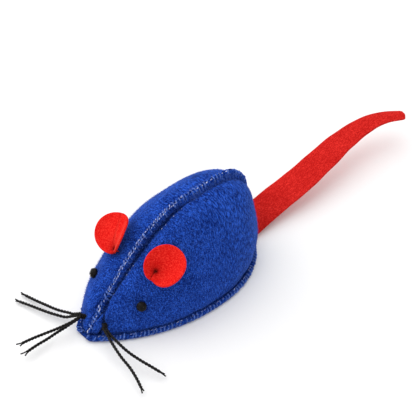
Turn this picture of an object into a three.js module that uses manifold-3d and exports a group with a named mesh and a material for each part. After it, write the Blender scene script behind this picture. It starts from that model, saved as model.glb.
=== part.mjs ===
// A catnip mouse: a stuffed felt toy with cupped ears, knotted eyes, thread whiskers and a felt tail.
// Millimetres, +Z up. The nose points along -Y, the mouse's left side is +X, and the origin is on
// the floor, in the middle of the flat underside of the base panel.
import * as THREE from 'three';
import { mergeVertices } from 'three/addons/utils/BufferGeometryUtils.js';
import Module from 'manifold-3d';

const wasm = await Module();
wasm.setup();

// Felt, thread and the clearance between pieces that touch
const feltThickness = 1.0;
const whiskerDiameter = 1.1;
const sewingThreadDiameter = 0.8;
const seamGap = 0.3;
const stuffingGap = 0.4;

// Body, measured on the seams where the felt panels meet
const bodyLength = 93;
const bodyWidth = 54;
const widestFromNose = 57;
const crownHeight = 44;
const crownFromNose = 56;
const tipRise = 2.2; // the ridge seam's two ends, above the lip of the base seam
const ridgeLean = 4.3; // the crown's shift to the mouse's left, from uneven stuffing
const lipWidth = 2.3; // the base seam's allowance, outside the groove
const chinExtra = 0.8; // how much wider that lip is under the nose
const ridgeFlange = 3.4; // the ridge seam's allowance, standing up

// Fullness of the curves: powers, angles and a share of the flank's width, with no unit
const noseFullness = 0.735;
const browFullness = 1.095;
const rumpSquareness = 3.6;
const flankAngleAtBase = THREE.MathUtils.degToRad(36);
const flankAngleAtRidge = THREE.MathUtils.degToRad(78);
const flankFullness = 0.311;
const chinShare = 0.1; // the share of the base seam that the chin takes

// Overlock thread that wraps the two seam allowances
const overlockThickness = 0.4;
const overlockReach = 1.6;

// Ears: felt discs drawn into a cup, sewn down near one edge
const earDiameter = 18.3;
const earCupDepth = 3.6;
const earPinch = 2.6; // from the disc's edge to the point that is sewn down
const earPleat = 1.0; // how far the pleat at that edge drops
const earTackDepth = 4; // how far the stitch that holds it goes into the head

// Eyes and whisker knots: wound thread
const eyeDiameter = 4.6;
const eyeHeight = 2.4;
const knotDiameter = 3.2;
const knotLength = 2.0;

// Tail: one felt strip, sewn into the base seam
const tailRootWidth = 16;
const tailTipWidth = 5;
const tailTaper = 2.3; // power of the taper, with no unit
const tailSide = 3.2; // its root lies this far to the mouse's left
const tailTabDepth = 5; // inside the groove of the base seam
const tailHingeOut = 1.5; // from the lip's edge to the fold
const tailHingeGap = 0.8;

// Catnip, in a pocket at the bottom of the stuffing
const catnipDiameter = 24;
const catnipHeight = 17;

// Places on the flank: a share of the way from nose to rump, and from base seam to ridge seam
const eyePlaces = { left: { along: 0.223, up: 0.42 }, right: { along: 0.21, up: 0.478 } };
const earPlaces = { left: { along: 0.296, up: 0.655 }, right: { along: 0.278, up: 0.725 } };
const knotPlaces = { left: { along: 0.0725, up: 0.3825 }, right: { along: 0.045, up: 0.47 } };

// Directions of the left ear: from its sewn point to its middle, and the way its cup faces
const earReach = new THREE.Vector3(0.577, 0.653, 0.465).normalize();
const earFacing = new THREE.Vector3(0.15, -0.66, 0.74).normalize();

// Routes of the whiskers, from their knot, and of the tail's middle line, from its fold
const whiskerRoutes = {
  left: [
    [[0.57, 0.49, 0], [8.99, -1.15, -0.65], [15.39, -1.15, -1.85], [21.59, -0.15, -2.95], [27.69, 1.25, -3.95],
      [33.69, 2.55, -4.95]],
    [[-0.57, -0.49, 0], [9.79, -3.85, -0.65], [15.69, -5.25, -1.85], [21.69, -6.15, -2.95], [27.69, -7.95, -3.95],
      [33.49, -10.35, -4.95]],
  ],
  right: [
    [[-0.4, 0.66, 0.7], [-6.87, -0.2, -3.05], [-12.57, -1.97, -4.1], [-18.67, -2.97, -4.9], [-24.87, -3.87, -5.7],
      [-33.07, -4.97, -6.4]],
    [[-0.82, 0.17, -0.58], [-6.07, -2.1, -3.95], [-11.37, -4.37, -4.4], [-17.37, -6.07, -5], [-23.77, -7.47, -5.7],
      [-31.67, -9.47, -6.4]],
    [[0.82, -0.17, 0.58], [-1.27, -6.47, -1.4], [-2.27, -11.97, -1.1], [-3.47, -17.27, -0.7], [-4.57, -22.67, -0.2],
      [-5.57, -30.17, 0.5]],
    [[0.4, -0.66, -0.7], [-1.57, -5.97, -3.1], [-1.87, -11.77, -3], [-1.97, -17.27, -2.9], [-2.37, -22.77, -2.8],
      [-2.47, -30.47, -2.8]],
  ],
};
const tailRoute = [
  [0, 0, 0], [0.7, 17, 4.2], [2, 33, 7.7], [2.2, 49, 10.5],
  [1.8, 65, 12.6], [2.9, 81, 13.9], [6.1, 92, 14.2], [11.2, 100, 14],
];

// Fineness of the surfaces
const stations = 36;
const flankSteps = 9;
const cordSides = 8;
const whiskerSteps = 12;
const tailSteps = 20;
const turnSegments = 14;
const earSpokes = 28;
const earRings = 5;

// Levels that follow from the layers of felt at the base seam
const lipUnder = feltThickness + seamGap;
const lipTop = lipUnder + feltThickness;
const flangeHalf = seamGap / 2 + feltThickness;
const wallInset = 1.25 * feltThickness; // taken in from the seams, so that a slanted wall keeps its thickness
const noseEnd = -bodyLength / 2;
const rumpEnd = bodyLength / 2;
const lipEnd = rumpEnd + lipWidth;

// Solids from three.js geometry

function signedVolume(geometry) {
  const position = geometry.getAttribute('position');
  const index = geometry.getIndex().array;
  const [a, b, c] = [new THREE.Vector3(), new THREE.Vector3(), new THREE.Vector3()];
  let volume = 0;
  for (let i = 0; i < index.length; i += 3) {
    a.fromBufferAttribute(position, index[i]);
    b.fromBufferAttribute(position, index[i + 1]);
    c.fromBufferAttribute(position, index[i + 2]);
    volume += a.dot(b.cross(c)) / 6;
  }
  return volume;
}

// Shared corners are merged, triangles without area dropped and faces turned to point out.
function closed(geometry) {
  const bare = geometry.clone();
  bare.deleteAttribute('normal');
  bare.deleteAttribute('uv');
  const merged = mergeVertices(bare, 1e-4);
  const corners = merged.getIndex().array;
  const kept = [];
  for (let i = 0; i < corners.length; i += 3) {
    const [a, b, c] = corners.slice(i, i + 3);
    if (a !== b && b !== c && c !== a) kept.push(a, b, c);
  }
  merged.setIndex(kept);
  if (signedVolume(merged) < 0) merged.setIndex(kept.reverse());
  return merged;
}

function toManifold(geometry) {
  const vertProperties = new Float32Array(geometry.getAttribute('position').array);
  const triVerts = new Uint32Array(geometry.getIndex().array);
  return new wasm.Manifold(new wasm.Mesh({ numProp: 3, vertProperties, triVerts }));
}

function without(geometry, cutters) {
  const cut = cutters.reduce((solid, cutter) => solid.subtract(toManifold(cutter)), toManifold(geometry));
  const mesh = cut.getMesh();
  const result = new THREE.BufferGeometry();
  result.setAttribute('position', new THREE.Float32BufferAttribute(mesh.vertProperties, 3));
  result.setIndex(Array.from(mesh.triVerts));
  return result;
}

// A closed sheet between two grids of points with the same rows and columns.
function sheetBetween(front, back) {
  const rows = front.length;
  const columns = front[0].length;
  const behind = rows * columns;
  const index = [];
  const quad = (a, b, c, d) => index.push(a, b, c, a, c, d);
  for (let row = 0; row < rows - 1; row += 1) {
    for (let column = 0; column < columns - 1; column += 1) {
      const a = row * columns + column;
      quad(a, a + columns, a + columns + 1, a + 1);
      quad(behind + a, behind + a + 1, behind + a + columns + 1, behind + a + columns);
    }
  }
  const border = [];
  for (let column = 0; column < columns - 1; column += 1) border.push(column);
  for (let row = 0; row < rows - 1; row += 1) border.push(row * columns + columns - 1);
  for (let column = columns - 1; column > 0; column -= 1) border.push((rows - 1) * columns + column);
  for (let row = rows - 1; row > 0; row -= 1) border.push(row * columns);
  border.forEach((a, i) => {
    const b = border[(i + 1) % border.length];
    quad(a, b, behind + b, behind + a);
  });
  const geometry = new THREE.BufferGeometry();
  const points = [...front.flat(), ...back.flat()];
  geometry.setAttribute('position', new THREE.Float32BufferAttribute(points.flatMap((p) => p.toArray()), 3));
  geometry.setIndex(index);
  return closed(geometry);
}

function tubeAlong(points, diameter, steps) {
  const corners = [];
  for (let i = 0; i < cordSides; i += 1) {
    const turn = (2 * Math.PI * i) / cordSides;
    corners.push(new THREE.Vector2(Math.cos(turn), Math.sin(turn)).multiplyScalar(diameter / 2));
  }
  const extrudePath = points.length > 2 ? new THREE.CatmullRomCurve3(points) : new THREE.LineCurve3(...points);
  return closed(new THREE.ExtrudeGeometry(new THREE.Shape(corners), { steps, extrudePath }));
}

// A turned solid from radius and height pairs, standing on a point with its axis along a direction.
function turned(profile, foot, direction) {
  const lathe = new THREE.LatheGeometry(profile.map(([r, h]) => new THREE.Vector2(r, h)), turnSegments);
  const up = new THREE.Quaternion().setFromUnitVectors(new THREE.Vector3(0, 1, 0), direction);
  return closed(lathe).applyQuaternion(up).translate(foot.x, foot.y, foot.z);
}

// The seams and the flank between them

class BaseSeam extends THREE.Curve {
  constructor(inset, seamHalf, level) {
    super();
    Object.assign(this, { inset, seamHalf, level });
  }

  getPoint(share, target = new THREE.Vector3()) {
    const nose = noseEnd + this.inset;
    const rump = rumpEnd - this.inset;
    const widest = noseEnd + widestFromNose;
    const reach = bodyWidth / 2 - this.inset - this.seamHalf;
    if (share < 0.5) {
      const along = share / 0.5;
      const out = Math.sin((Math.PI / 2) * along ** noseFullness);
      return target.set(this.seamHalf + reach * out, nose + along * (widest - nose), this.level);
    }
    const turn = (share - 0.5) * Math.PI;
    const back = widest + (rump - widest) * Math.sin(turn);
    return target.set(this.seamHalf + reach * Math.cos(turn), back, this.level);
  }
}

class RidgeSeam extends THREE.Curve {
  constructor(inset, seamHalf) {
    super();
    Object.assign(this, { inset, seamHalf });
  }

  getPoint(share, target = new THREE.Vector3()) {
    const nose = noseEnd + this.inset;
    const rump = rumpEnd - this.inset;
    const crown = noseEnd + crownFromNose;
    const tip = lipTop + tipRise - this.inset;
    const rise = crownHeight - this.inset - tip;
    if (share < 0.5) {
      const along = share / 0.5;
      const up = Math.sin((Math.PI / 2) * along ** browFullness);
      return target.set(this.seamHalf, nose + along * (crown - nose), tip + rise * up);
    }
    const turn = (share - 0.5) * Math.PI;
    const back = Math.sin(turn) ** (2 / rumpSquareness);
    const up = Math.max(Math.cos(turn), 0) ** (2 / rumpSquareness);
    return target.set(this.seamHalf, crown + (rump - crown) * back, tip + rise * up);
  }
}

function leaned(point) {
  point.x += (ridgeLean * Math.max(point.z - lipUnder, 0)) / crownHeight;
  return point;
}

// One side of the body at some depth below its outer surface. The side is 1 for left, -1 for right.
class Flank {
  constructor({ inset, seamHalf, level }) {
    this.base = new BaseSeam(inset, seamHalf, level);
    this.ridge = new RidgeSeam(inset, seamHalf);
    this.base.arcLengthDivisions = 800;
    this.ridge.arcLengthDivisions = 800;
  }

  // The felt bows out between the seams, further up near the ridge than down at the base.
  section(along) {
    const foot = this.base.getPointAt(along);
    const top = this.ridge.getPointAt(along);
    const chord = top.clone().sub(foot);
    const run = this.base.getTangentAt(along).add(this.ridge.getTangentAt(along));
    const out = run.cross(chord).normalize();
    const arm = chord.length() * flankFullness;
    const up = chord.clone().normalize();
    const nearFoot = foot.clone()
      .addScaledVector(up, arm * Math.cos(flankAngleAtBase))
      .addScaledVector(out, arm * Math.sin(flankAngleAtBase));
    const nearTop = top.clone()
      .addScaledVector(up, -arm * Math.cos(flankAngleAtRidge))
      .addScaledVector(out, arm * Math.sin(flankAngleAtRidge));
    return new THREE.CubicBezierCurve3(foot, nearFoot, nearTop, top);
  }

  point(along, up, side) {
    const point = this.section(along).getPoint(up);
    point.x *= side;
    return leaned(point);
  }

  normal({ along, up }, side) {
    const step = 0.01;
    const forward = this.point(along + step, up, side).sub(this.point(along - step, up, side));
    const upward = this.point(along, up + step, side).sub(this.point(along, up - step, side));
    return forward.cross(upward).multiplyScalar(side).normalize();
  }

  row(along, side) {
    const row = [];
    for (let step = 0; step <= flankSteps; step += 1) row.push(this.point(along, step / flankSteps, side));
    return row;
  }
}

const outerFlank = new Flank({ inset: 0, seamHalf: flangeHalf, level: lipTop });
const innerFlank = new Flank({ inset: wallInset, seamHalf: seamGap / 2, level: lipUnder });
const stuffingFlank = new Flank({ inset: wallInset + stuffingGap, seamHalf: seamGap / 2, level: lipUnder });

const shares = Array.from({ length: stations + 1 }, (_, i) => i / stations);

// A point beyond the groove of the base seam, on the level of the given layer.
function lipPoint(along, beyondEdge, level, side) {
  const tangent = outerFlank.base.getTangentAt(along);
  const chin = chinExtra * Math.max(1 - along / chinShare, 0) ** 2;
  const reach = lipWidth + chin + beyondEdge;
  const point = outerFlank.base.getPointAt(along);
  point.x = side * (point.x + reach * tangent.y);
  point.y -= reach * tangent.x;
  point.z = level;
  return leaned(point);
}

// A point on the ridge seam's allowance, at a height above its foot and a distance from its middle.
function flangePoint(along, height, out) {
  const tangent = outerFlank.ridge.getTangentAt(along);
  const point = outerFlank.ridge.getPointAt(along);
  point.x = out;
  point.y -= height * tangent.z;
  point.z += height * tangent.y;
  return leaned(point);
}

// Tail: the tab in the seam, the fold behind it and the slot that the side panels leave

const tailRootHalf = tailRootWidth / 2;
const tailFold = new THREE.Vector3(tailSide, lipEnd + tailHingeOut, lipUnder + feltThickness / 2);

function boxBetween(low, high) {
  const size = high.clone().sub(low);
  const middle = low.clone().add(high).multiplyScalar(0.5);
  return closed(new THREE.BoxGeometry(...size.toArray()).translate(...middle.toArray()));
}

const tabLow = new THREE.Vector3(tailSide - tailRootHalf, rumpEnd - wallInset - tailTabDepth, lipUnder);
const tabHigh = new THREE.Vector3(tailSide + tailRootHalf, tailFold.y - tailHingeGap / 2, lipTop);
const slotMargin = new THREE.Vector3(seamGap, seamGap, seamGap);
const slotHigh = tabHigh.clone().add(slotMargin).setY(tailFold.y + lipWidth);
const tailSlot = boxBetween(tabLow.clone().sub(slotMargin), slotHigh);
const overlockSlot = boxBetween(
  tabLow.clone().sub(slotMargin).setZ(-feltThickness),
  slotHigh.clone().setZ(lipTop + overlockThickness + 2 * seamGap),
);

function tailStrip() {
  const route = new THREE.CatmullRomCurve3(tailRoute.map((p) => new THREE.Vector3(...p).add(tailFold)));
  const start = tailHingeGap / 2 / route.getLength();
  const upper = [];
  const lower = [];
  for (let step = 0; step <= tailSteps; step += 1) {
    const along = start + ((1 - start) * step) / tailSteps;
    const middle = route.getPointAt(along);
    const ahead = route.getTangentAt(along);
    const across = ahead.clone().cross(new THREE.Vector3(0, 0, 1)).normalize();
    const above = across.clone().cross(ahead);
    const width = tailTipWidth + (tailRootWidth - tailTipWidth) * (1 - along ** tailTaper);
    const edges = [-width / 2, width / 2].map((out) => middle.clone().addScaledVector(across, out));
    upper.push(edges.map((p) => p.clone().addScaledVector(above, feltThickness / 2)));
    lower.push(edges.map((p) => p.clone().addScaledVector(above, -feltThickness / 2)));
  }
  return sheetBetween(upper, lower);
}

function tailTack() {
  const level = lipTop + seamGap + sewingThreadDiameter / 2;
  const ends = [-tailRootHalf, tailRootHalf].map((out) => new THREE.Vector3(tailSide + out, 0, level));
  ends.forEach((p) => p.setY(rumpEnd + lipWidth / 2));
  return tubeAlong(ends, sewingThreadDiameter, 1);
}

// Things sewn on to the head, each at a place on the flank

function placed(place, side) {
  return { point: outerFlank.point(place.along, place.up, side), out: outerFlank.normal(place, side) };
}

function pair({ left, right }) {
  return { left: placed(left, 1), right: placed(right, -1) };
}

// A knot of wound thread: its turns show as a few rounds one above the other.
function woundKnot(diameter, height, turns) {
  const profile = [[0, 0], [diameter * 0.36, 0]];
  for (let turn = 0; turn < turns; turn += 1) {
    const middle = (turn + 0.5) / turns;
    const radius = (diameter / 2) * Math.sqrt(1 - (1.5 * middle - 0.6) ** 2);
    profile.push([radius, middle * height], [radius * 0.9, ((turn + 0.9) / turns) * height]);
  }
  profile.push([0, height]);
  return profile;
}

// A straight thread from one place through the head to another, or the tunnel for it, which goes beyond.
function threadBetween(left, right, beyond, diameter) {
  const along = right.point.clone().sub(left.point).normalize();
  const start = left.point.clone().addScaledVector(along, -beyond);
  const end = right.point.clone().addScaledVector(along, beyond);
  return tubeAlong([start, end], diameter, 1);
}

function seat({ point, out }) {
  return point.clone().addScaledVector(out, seamGap);
}

const eyes = pair(eyePlaces);
const knots = pair(knotPlaces);
const ears = pair(earPlaces);

const tunnelDiameter = sewingThreadDiameter + 2 * seamGap;
const eyeTunnel = threadBetween(eyes.left, eyes.right, 2 * feltThickness, tunnelDiameter);
const knotTunnel = threadBetween(knots.left, knots.right, 2 * feltThickness, whiskerDiameter + 2 * seamGap);

// The stitch that holds an ear is a thread that goes into the head below it. Its tunnel is wider and longer.
function earStitch(side, margin) {
  const { point, out } = ears[side];
  const radius = sewingThreadDiameter / 2 + margin;
  const low = -earTackDepth - margin;
  const high = margin > 0 ? feltThickness : 0;
  return turned([[0, low], [radius, low], [radius, high], [0, high]], point, out);
}

// The sewn point of the cup rests on the felt, and the cup widens from there to the disc's edge.
function earCup(side) {
  const mirror = side === 'left' ? 1 : -1;
  const { point, out } = ears[side];
  const reach = earReach.clone();
  const facing = earFacing.clone().addScaledVector(reach, -earFacing.dot(reach)).normalize();
  const across = facing.clone().cross(reach);
  [reach, facing, across].forEach((v) => v.setX(v.x * mirror));
  const middleOfFelt = feltThickness / 2 / out.dot(facing);
  const sewn = point.clone().addScaledVector(out, seamGap + middleOfFelt);
  const radius = earDiameter / 2;
  const centre = radius - earPinch;
  const surfaces = [0.5, -0.5].map((half) => {
    const spokes = [];
    for (let spoke = 0; spoke <= earSpokes; spoke += 1) {
      const turn = (2 * Math.PI * spoke) / earSpokes;
      const edge = centre * Math.cos(turn) + Math.sqrt(radius ** 2 - (centre * Math.sin(turn)) ** 2);
      const pleat = earPleat * Math.exp(-(((turn - Math.PI) / 0.3) ** 2));
      const row = [];
      for (let ring = 0; ring <= earRings; ring += 1) {
        const share = ring / earRings;
        const lift = earCupDepth * share ** 1.2 - pleat * share + half * feltThickness;
        row.push(sewn.clone()
          .addScaledVector(reach, share * edge * Math.cos(turn))
          .addScaledVector(across, share * edge * Math.sin(turn))
          .addScaledVector(facing, lift));
      }
      spokes.push(row);
    }
    return spokes;
  });
  return earFromSpokes(...surfaces);
}

// The first and last spoke are the same line and every spoke starts at one point, so both are merged.
function earFromSpokes(front, back) {
  const rings = front[0].length;
  const points = [];
  const index = [];
  const number = (surface, spoke, ring) => {
    const start = surface * (1 + earSpokes * (rings - 1));
    return ring === 0 ? start : start + 1 + (spoke % earSpokes) * (rings - 1) + ring - 1;
  };
  [front, back].forEach((spokes, surface) => {
    points.push(spokes[0][0]);
    spokes.slice(0, earSpokes).forEach((row) => points.push(...row.slice(1)));
    for (let spoke = 0; spoke < earSpokes; spoke += 1) {
      for (let ring = 0; ring < rings - 1; ring += 1) {
        const corners = [[spoke, ring], [spoke, ring + 1], [spoke + 1, ring + 1], [spoke + 1, ring]];
        const [a, b, c, d] = corners.map(([s, r]) => number(surface, s, r));
        if (surface === 0) index.push(a, b, c, a, c, d);
        else index.push(a, c, b, a, d, c);
      }
    }
  });
  for (let spoke = 0; spoke < earSpokes; spoke += 1) {
    const [a, b] = [number(0, spoke, rings - 1), number(0, spoke + 1, rings - 1)];
    const [c, d] = [number(1, spoke + 1, rings - 1), number(1, spoke, rings - 1)];
    index.push(a, d, c, a, c, b);
  }
  const geometry = new THREE.BufferGeometry();
  geometry.setAttribute('position', new THREE.Float32BufferAttribute(points.flatMap((p) => p.toArray()), 3));
  geometry.setIndex(index);
  return closed(geometry);
}

// Felt panels and what they hold

function basePanel() {
  const left = shares.map((along) => lipPoint(along, 0, 0, 1));
  const right = shares.map((along) => lipPoint(along, 0, 0, -1)).reverse();
  const outline = new THREE.Shape([...left, ...right].map((p) => new THREE.Vector2(p.x, p.y)));
  return closed(new THREE.ExtrudeGeometry(outline, { depth: feltThickness, bevelEnabled: false }));
}

function sidePanel(side) {
  const outside = shares.map((along) => [
    lipPoint(along, 0, lipTop, side),
    ...outerFlank.row(along, side),
    flangePoint(along, ridgeFlange, side * flangeHalf),
  ]);
  const inside = shares.map((along) => [
    lipPoint(along, 0, lipUnder, side),
    ...innerFlank.row(along, side),
    flangePoint(along, ridgeFlange, (side * seamGap) / 2),
  ]);
  const ear = earStitch(side === 1 ? 'left' : 'right', seamGap);
  return without(sheetBetween(outside, inside), [tailSlot, eyeTunnel, knotTunnel, ear]);
}

function catnipProfile(margin) {
  const radius = catnipDiameter / 2 + margin;
  const top = lipUnder + catnipHeight + margin;
  const low = lipUnder - margin;
  const dome = [0, 0.25, 0.5, 0.75].map((share) => {
    const turn = (share * Math.PI) / 2;
    return [radius * Math.cos(turn), lipUnder + (top - lipUnder) * Math.sin(turn)];
  });
  return [[0, low], [radius, low], ...dome.slice(margin > 0 ? 0 : 1), [0, top]];
}

function stuffing() {
  const left = shares.map((along) => stuffingFlank.row(along, 1));
  const right = shares.map((along) => stuffingFlank.row(along, -1));
  const up = new THREE.Vector3(0, 0, 1);
  const pocket = turned(catnipProfile(seamGap), new THREE.Vector3(), up);
  const cuts = [pocket, tailSlot, eyeTunnel, knotTunnel, earStitch('left', seamGap), earStitch('right', seamGap)];
  return without(sheetBetween(left, right), cuts);
}

// The overlock lies over the edge of an allowance: a strip of thread, bent along the seam.
function ridgeOverlock() {
  const wrap = (clearance) => shares.slice(1, -1).map((along) => {
    const out = flangeHalf + clearance;
    const top = ridgeFlange + clearance;
    const foot = ridgeFlange - overlockReach;
    return [[foot, out], [top, out], [top, -out], [foot, -out]].map((p) => flangePoint(along, ...p));
  });
  return sheetBetween(wrap(seamGap + overlockThickness), wrap(seamGap));
}

function baseOverlock() {
  const round = [...[...shares].reverse().map((along) => [along, 1]), ...shares.map((along) => [along, -1])];
  const wrap = (clearance) => round.map(([along, side]) => [
    lipPoint(along, -overlockReach, lipTop + clearance, side),
    lipPoint(along, clearance, lipTop + clearance, side),
    lipPoint(along, clearance, seamGap, side),
  ]);
  return without(sheetBetween(wrap(seamGap + overlockThickness), wrap(seamGap)), [overlockSlot]);
}

// Whiskers: stiff waxed thread that starts at the face of its knot
function whisker(side, route) {
  const { point, out } = knots[side];
  const start = point.clone().addScaledVector(out, 2 * seamGap + knotLength);
  const points = route.map((p) => new THREE.Vector3(...p).add(start));
  return tubeAlong(points, whiskerDiameter, whiskerSteps);
}

// The assembly

const mouse = new THREE.Group();

const feltFinish = { roughness: 0.95, metalness: 0 };
const threadFinish = { roughness: 0.55, metalness: 0 };
const blueFelt = { color: 0x1f409a, ...feltFinish };
const redFelt = { color: 0xe02a28, ...feltFinish };
const blueThread = { color: 0x3257b4, ...threadFinish };
const redThread = { color: 0xb01c1c, ...threadFinish };
const blackThread = { color: 0x1b1c1b, ...threadFinish };

function add(name, geometry, finish) {
  const mesh = new THREE.Mesh(geometry, new THREE.MeshStandardMaterial(finish));
  mesh.name = name;
  mouse.add(mesh);
}

add('base_panel', basePanel(), blueFelt);
add('side_panel_left', sidePanel(1), blueFelt);
add('side_panel_right', sidePanel(-1), blueFelt);
add('stuffing', stuffing(), { color: 0xe8e6df, ...feltFinish });
add('catnip_filling', turned(catnipProfile(0), new THREE.Vector3(), new THREE.Vector3(0, 0, 1)), {
  color: 0x6f7a3a,
  ...feltFinish,
});
add('ridge_overlock', ridgeOverlock(), blueThread);
add('base_overlock', baseOverlock(), blueThread);
for (const side of ['left', 'right']) {
  const eyeProfile = woundKnot(eyeDiameter, eyeHeight, 3);
  const knotProfile = woundKnot(knotDiameter, knotLength, 3);
  add(`eye_${side}`, turned(eyeProfile, seat(eyes[side]), eyes[side].out), blackThread);
  add(`ear_${side}`, earCup(side), redFelt);
  add(`ear_tack_${side}`, earStitch(side, 0), redThread);
  add(`whisker_knot_${side}`, turned(knotProfile, seat(knots[side]), knots[side].out), blackThread);
  whiskerRoutes[side].forEach((route, i) => add(`whisker_${side}_${i + 1}`, whisker(side, route), blackThread));
}
add('eye_thread', threadBetween(eyes.left, eyes.right, 0, sewingThreadDiameter), blackThread);
add('whisker_cross_thread', threadBetween(knots.left, knots.right, -2 * seamGap, whiskerDiameter), blackThread);
add('tail_tab', boxBetween(tabLow, tabHigh), redFelt);
add('tail', tailStrip(), redFelt);
add('tail_tack', tailTack(), redThread);

export default mouse;
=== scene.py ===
# %% [markdown]
# # A catnip mouse sewn from felt
# The toy is two flanks and a base of blue felt, sewn edge to edge over fibre stuffing and a pocket of
# catnip. Red felt makes the ears and the tail, and black waxed thread makes the eyes and the whiskers.
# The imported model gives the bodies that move: the body, the two ears and the tail. Everything below is
# built in the same frame, with the nose along -Y, the mouse's left along +X and Z up. Shapes are worked
# out in millimetres and become metres when a mesh is made.

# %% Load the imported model
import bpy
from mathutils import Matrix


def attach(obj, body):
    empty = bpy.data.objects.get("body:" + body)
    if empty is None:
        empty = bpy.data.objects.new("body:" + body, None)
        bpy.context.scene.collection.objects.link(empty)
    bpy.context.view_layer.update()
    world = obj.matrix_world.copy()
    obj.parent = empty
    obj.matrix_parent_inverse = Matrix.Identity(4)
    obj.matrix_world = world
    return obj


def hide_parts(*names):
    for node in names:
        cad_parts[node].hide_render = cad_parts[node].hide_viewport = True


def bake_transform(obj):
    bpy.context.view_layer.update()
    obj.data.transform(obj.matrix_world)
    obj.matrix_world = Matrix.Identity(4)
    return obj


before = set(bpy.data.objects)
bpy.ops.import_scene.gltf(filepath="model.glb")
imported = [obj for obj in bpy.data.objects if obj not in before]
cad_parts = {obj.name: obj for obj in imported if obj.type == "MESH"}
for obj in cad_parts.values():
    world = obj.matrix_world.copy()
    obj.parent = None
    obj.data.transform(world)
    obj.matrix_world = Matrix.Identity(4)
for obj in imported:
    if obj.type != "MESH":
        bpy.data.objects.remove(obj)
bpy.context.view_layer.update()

# %% [markdown]
# ## Camera
# The toy was photographed from above its left shoulder, 45 degrees round and 45 degrees up. A long lens
# keeps the tail from shrinking. The lens pointed at the body, and the picture was then framed to take in
# the tail, so its middle is off the lens's axis. That is what the lens shift is for.

# %% Camera
import bpy
from mathutils import Vector

view_back = Vector((0.497, -0.503, 0.707)).normalized()  # from the toy to the camera
view_distance = 0.62
lens_axis = (0.393, 0.673)  # where it meets the picture, as shares of the width and height


def put_in_scene(name, data):
    """A new object, linked to the scene."""
    obj = bpy.data.objects.new(name, data)
    bpy.context.scene.collection.objects.link(obj)
    return obj


camera_data = bpy.data.cameras.new("table_camera")
camera_data.sensor_width = 36
camera_data.lens = 121.3
camera_data.shift_x = 0.5 - lens_axis[0]
camera_data.shift_y = lens_axis[1] - 0.5
camera = put_in_scene("table_camera", camera_data)
camera.location = view_back * view_distance
camera.rotation_mode = "QUATERNION"
camera.rotation_quaternion = view_back.to_track_quat("Z", "Y")
bpy.context.scene.camera = camera
print("camera at", [round(c, 3) for c in camera.location])

# %% [markdown]
# ## Table and light
# The toy lies on a matt white table in a bright room, so its shadow is soft and fades to white. One large
# lamp hangs high on the mouse's right side and a little ahead of it. The table is a plain sheet with a
# faint even glow, which keeps the deep shadow at the seam from going black. The Standard view keeps the
# white white and the red as strong as it is. The helpers that come first turn a screen colour to the
# linear one that shaders read, add a node with its settings and links, and start a material.

# %% Colour and node helpers


def linear(code):
    """An sRGB hex value as the linear colour of a shader."""
    channels = [int(code[i:i + 2], 16) / 255 for i in (1, 3, 5)]
    return [c / 12.92 if c < 0.04045 else ((c + 0.055) / 1.055) ** 2.4 for c in channels] + [1.0]


def set_inputs(tree, node, inputs):
    """Gives each input a value, or another node's output to follow."""
    for key, value in inputs.items():
        if isinstance(value, bpy.types.NodeSocket):
            tree.links.new(value, node.inputs[key])
        else:
            node.inputs[key].default_value = value


def add_node(tree, kind, inputs=None, **settings):
    """A new node with its settings made and its inputs set."""
    node = tree.nodes.new(kind)
    for name, value in settings.items():
        setattr(node, name, value)
    set_inputs(tree, node, inputs or {})
    return node


def new_material(name):
    """A material with the usual shader, its node tree and that shader."""
    material = bpy.data.materials.new(name)
    material.use_nodes = True
    return material, material.node_tree, material.node_tree.nodes["Principled BSDF"]


# %% Table, room light and lamp
MM = 0.001
white = (1, 1, 1, 1)
table_half = 3.0
room_light = 0.64
lamp_place = Vector((-0.6, -0.22, 1.25))
lamp_size = 2.6
lamp_power = 26

opal, opal_tree, opal_shader = new_material("opal_sheet")  # matt white, with a faint even glow
set_inputs(opal_tree, opal_shader, {
    "Base Color": linear("#f4f4f4"), "Roughness": 0.9, "Specular IOR Level": 0.1,
    "Emission Color": white, "Emission Strength": 0.06})
corners = [(x * table_half, y * table_half, 0) for x, y in ((-1, -1), (1, -1), (1, 1), (-1, 1))]
floor_mesh = bpy.data.meshes.new("light_table")
floor_mesh.from_pydata(corners, [], [(0, 1, 2, 3)])
floor_mesh.materials.append(opal)
floor = put_in_scene("light_table", floor_mesh)

sky = bpy.data.worlds.new("soft_room")
sky.use_nodes = True
set_inputs(sky.node_tree, sky.node_tree.nodes["Background"], {"Color": white, "Strength": room_light})
bpy.context.scene.world = sky
bpy.context.scene.view_settings.view_transform = "Standard"

lamp_data = bpy.data.lights.new("window_lamp", "AREA")
lamp_data.size = lamp_size
lamp_data.energy = lamp_power
lamp = put_in_scene("window_lamp", lamp_data)
lamp.location = lamp_place
lamp.rotation_mode = "QUATERNION"
lamp.rotation_quaternion = (-lamp_place).to_track_quat("-Z", "Y")
print("table:", floor.name, "lamp:", lamp.name)

# %% [markdown]
# ## Felt
# Wool felt is fibre matted by steam and pressure. It has no weave: the eye sees small clumps, a soft
# sheen where fibre stands off the edge, and brushed streaks where a hand has stroked it. Noise in real
# millimetres makes the clumps. Streaks need to follow the cloth, so each felt piece carries an attribute
# called lay: millimetres along the piece, millimetres across it, and how brushed it is there. A second
# attribute holds painted shade: where it is high, the colour goes towards a near-black tone, so that the
# seam grooves, the hollows, the ears' funnels and slits and the tail's root look shaded.

# %% Noise, tones and relief of a material


def speckle(tree, place, size, detail, roughness=0.5, distortion=0.0):
    """Noise with bits of about a given size."""
    return add_node(tree, "ShaderNodeTexNoise", {
        "Vector": place, "Scale": 1 / size, "Detail": detail, "Roughness": roughness,
        "Distortion": distortion}).outputs["Fac"]


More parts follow.
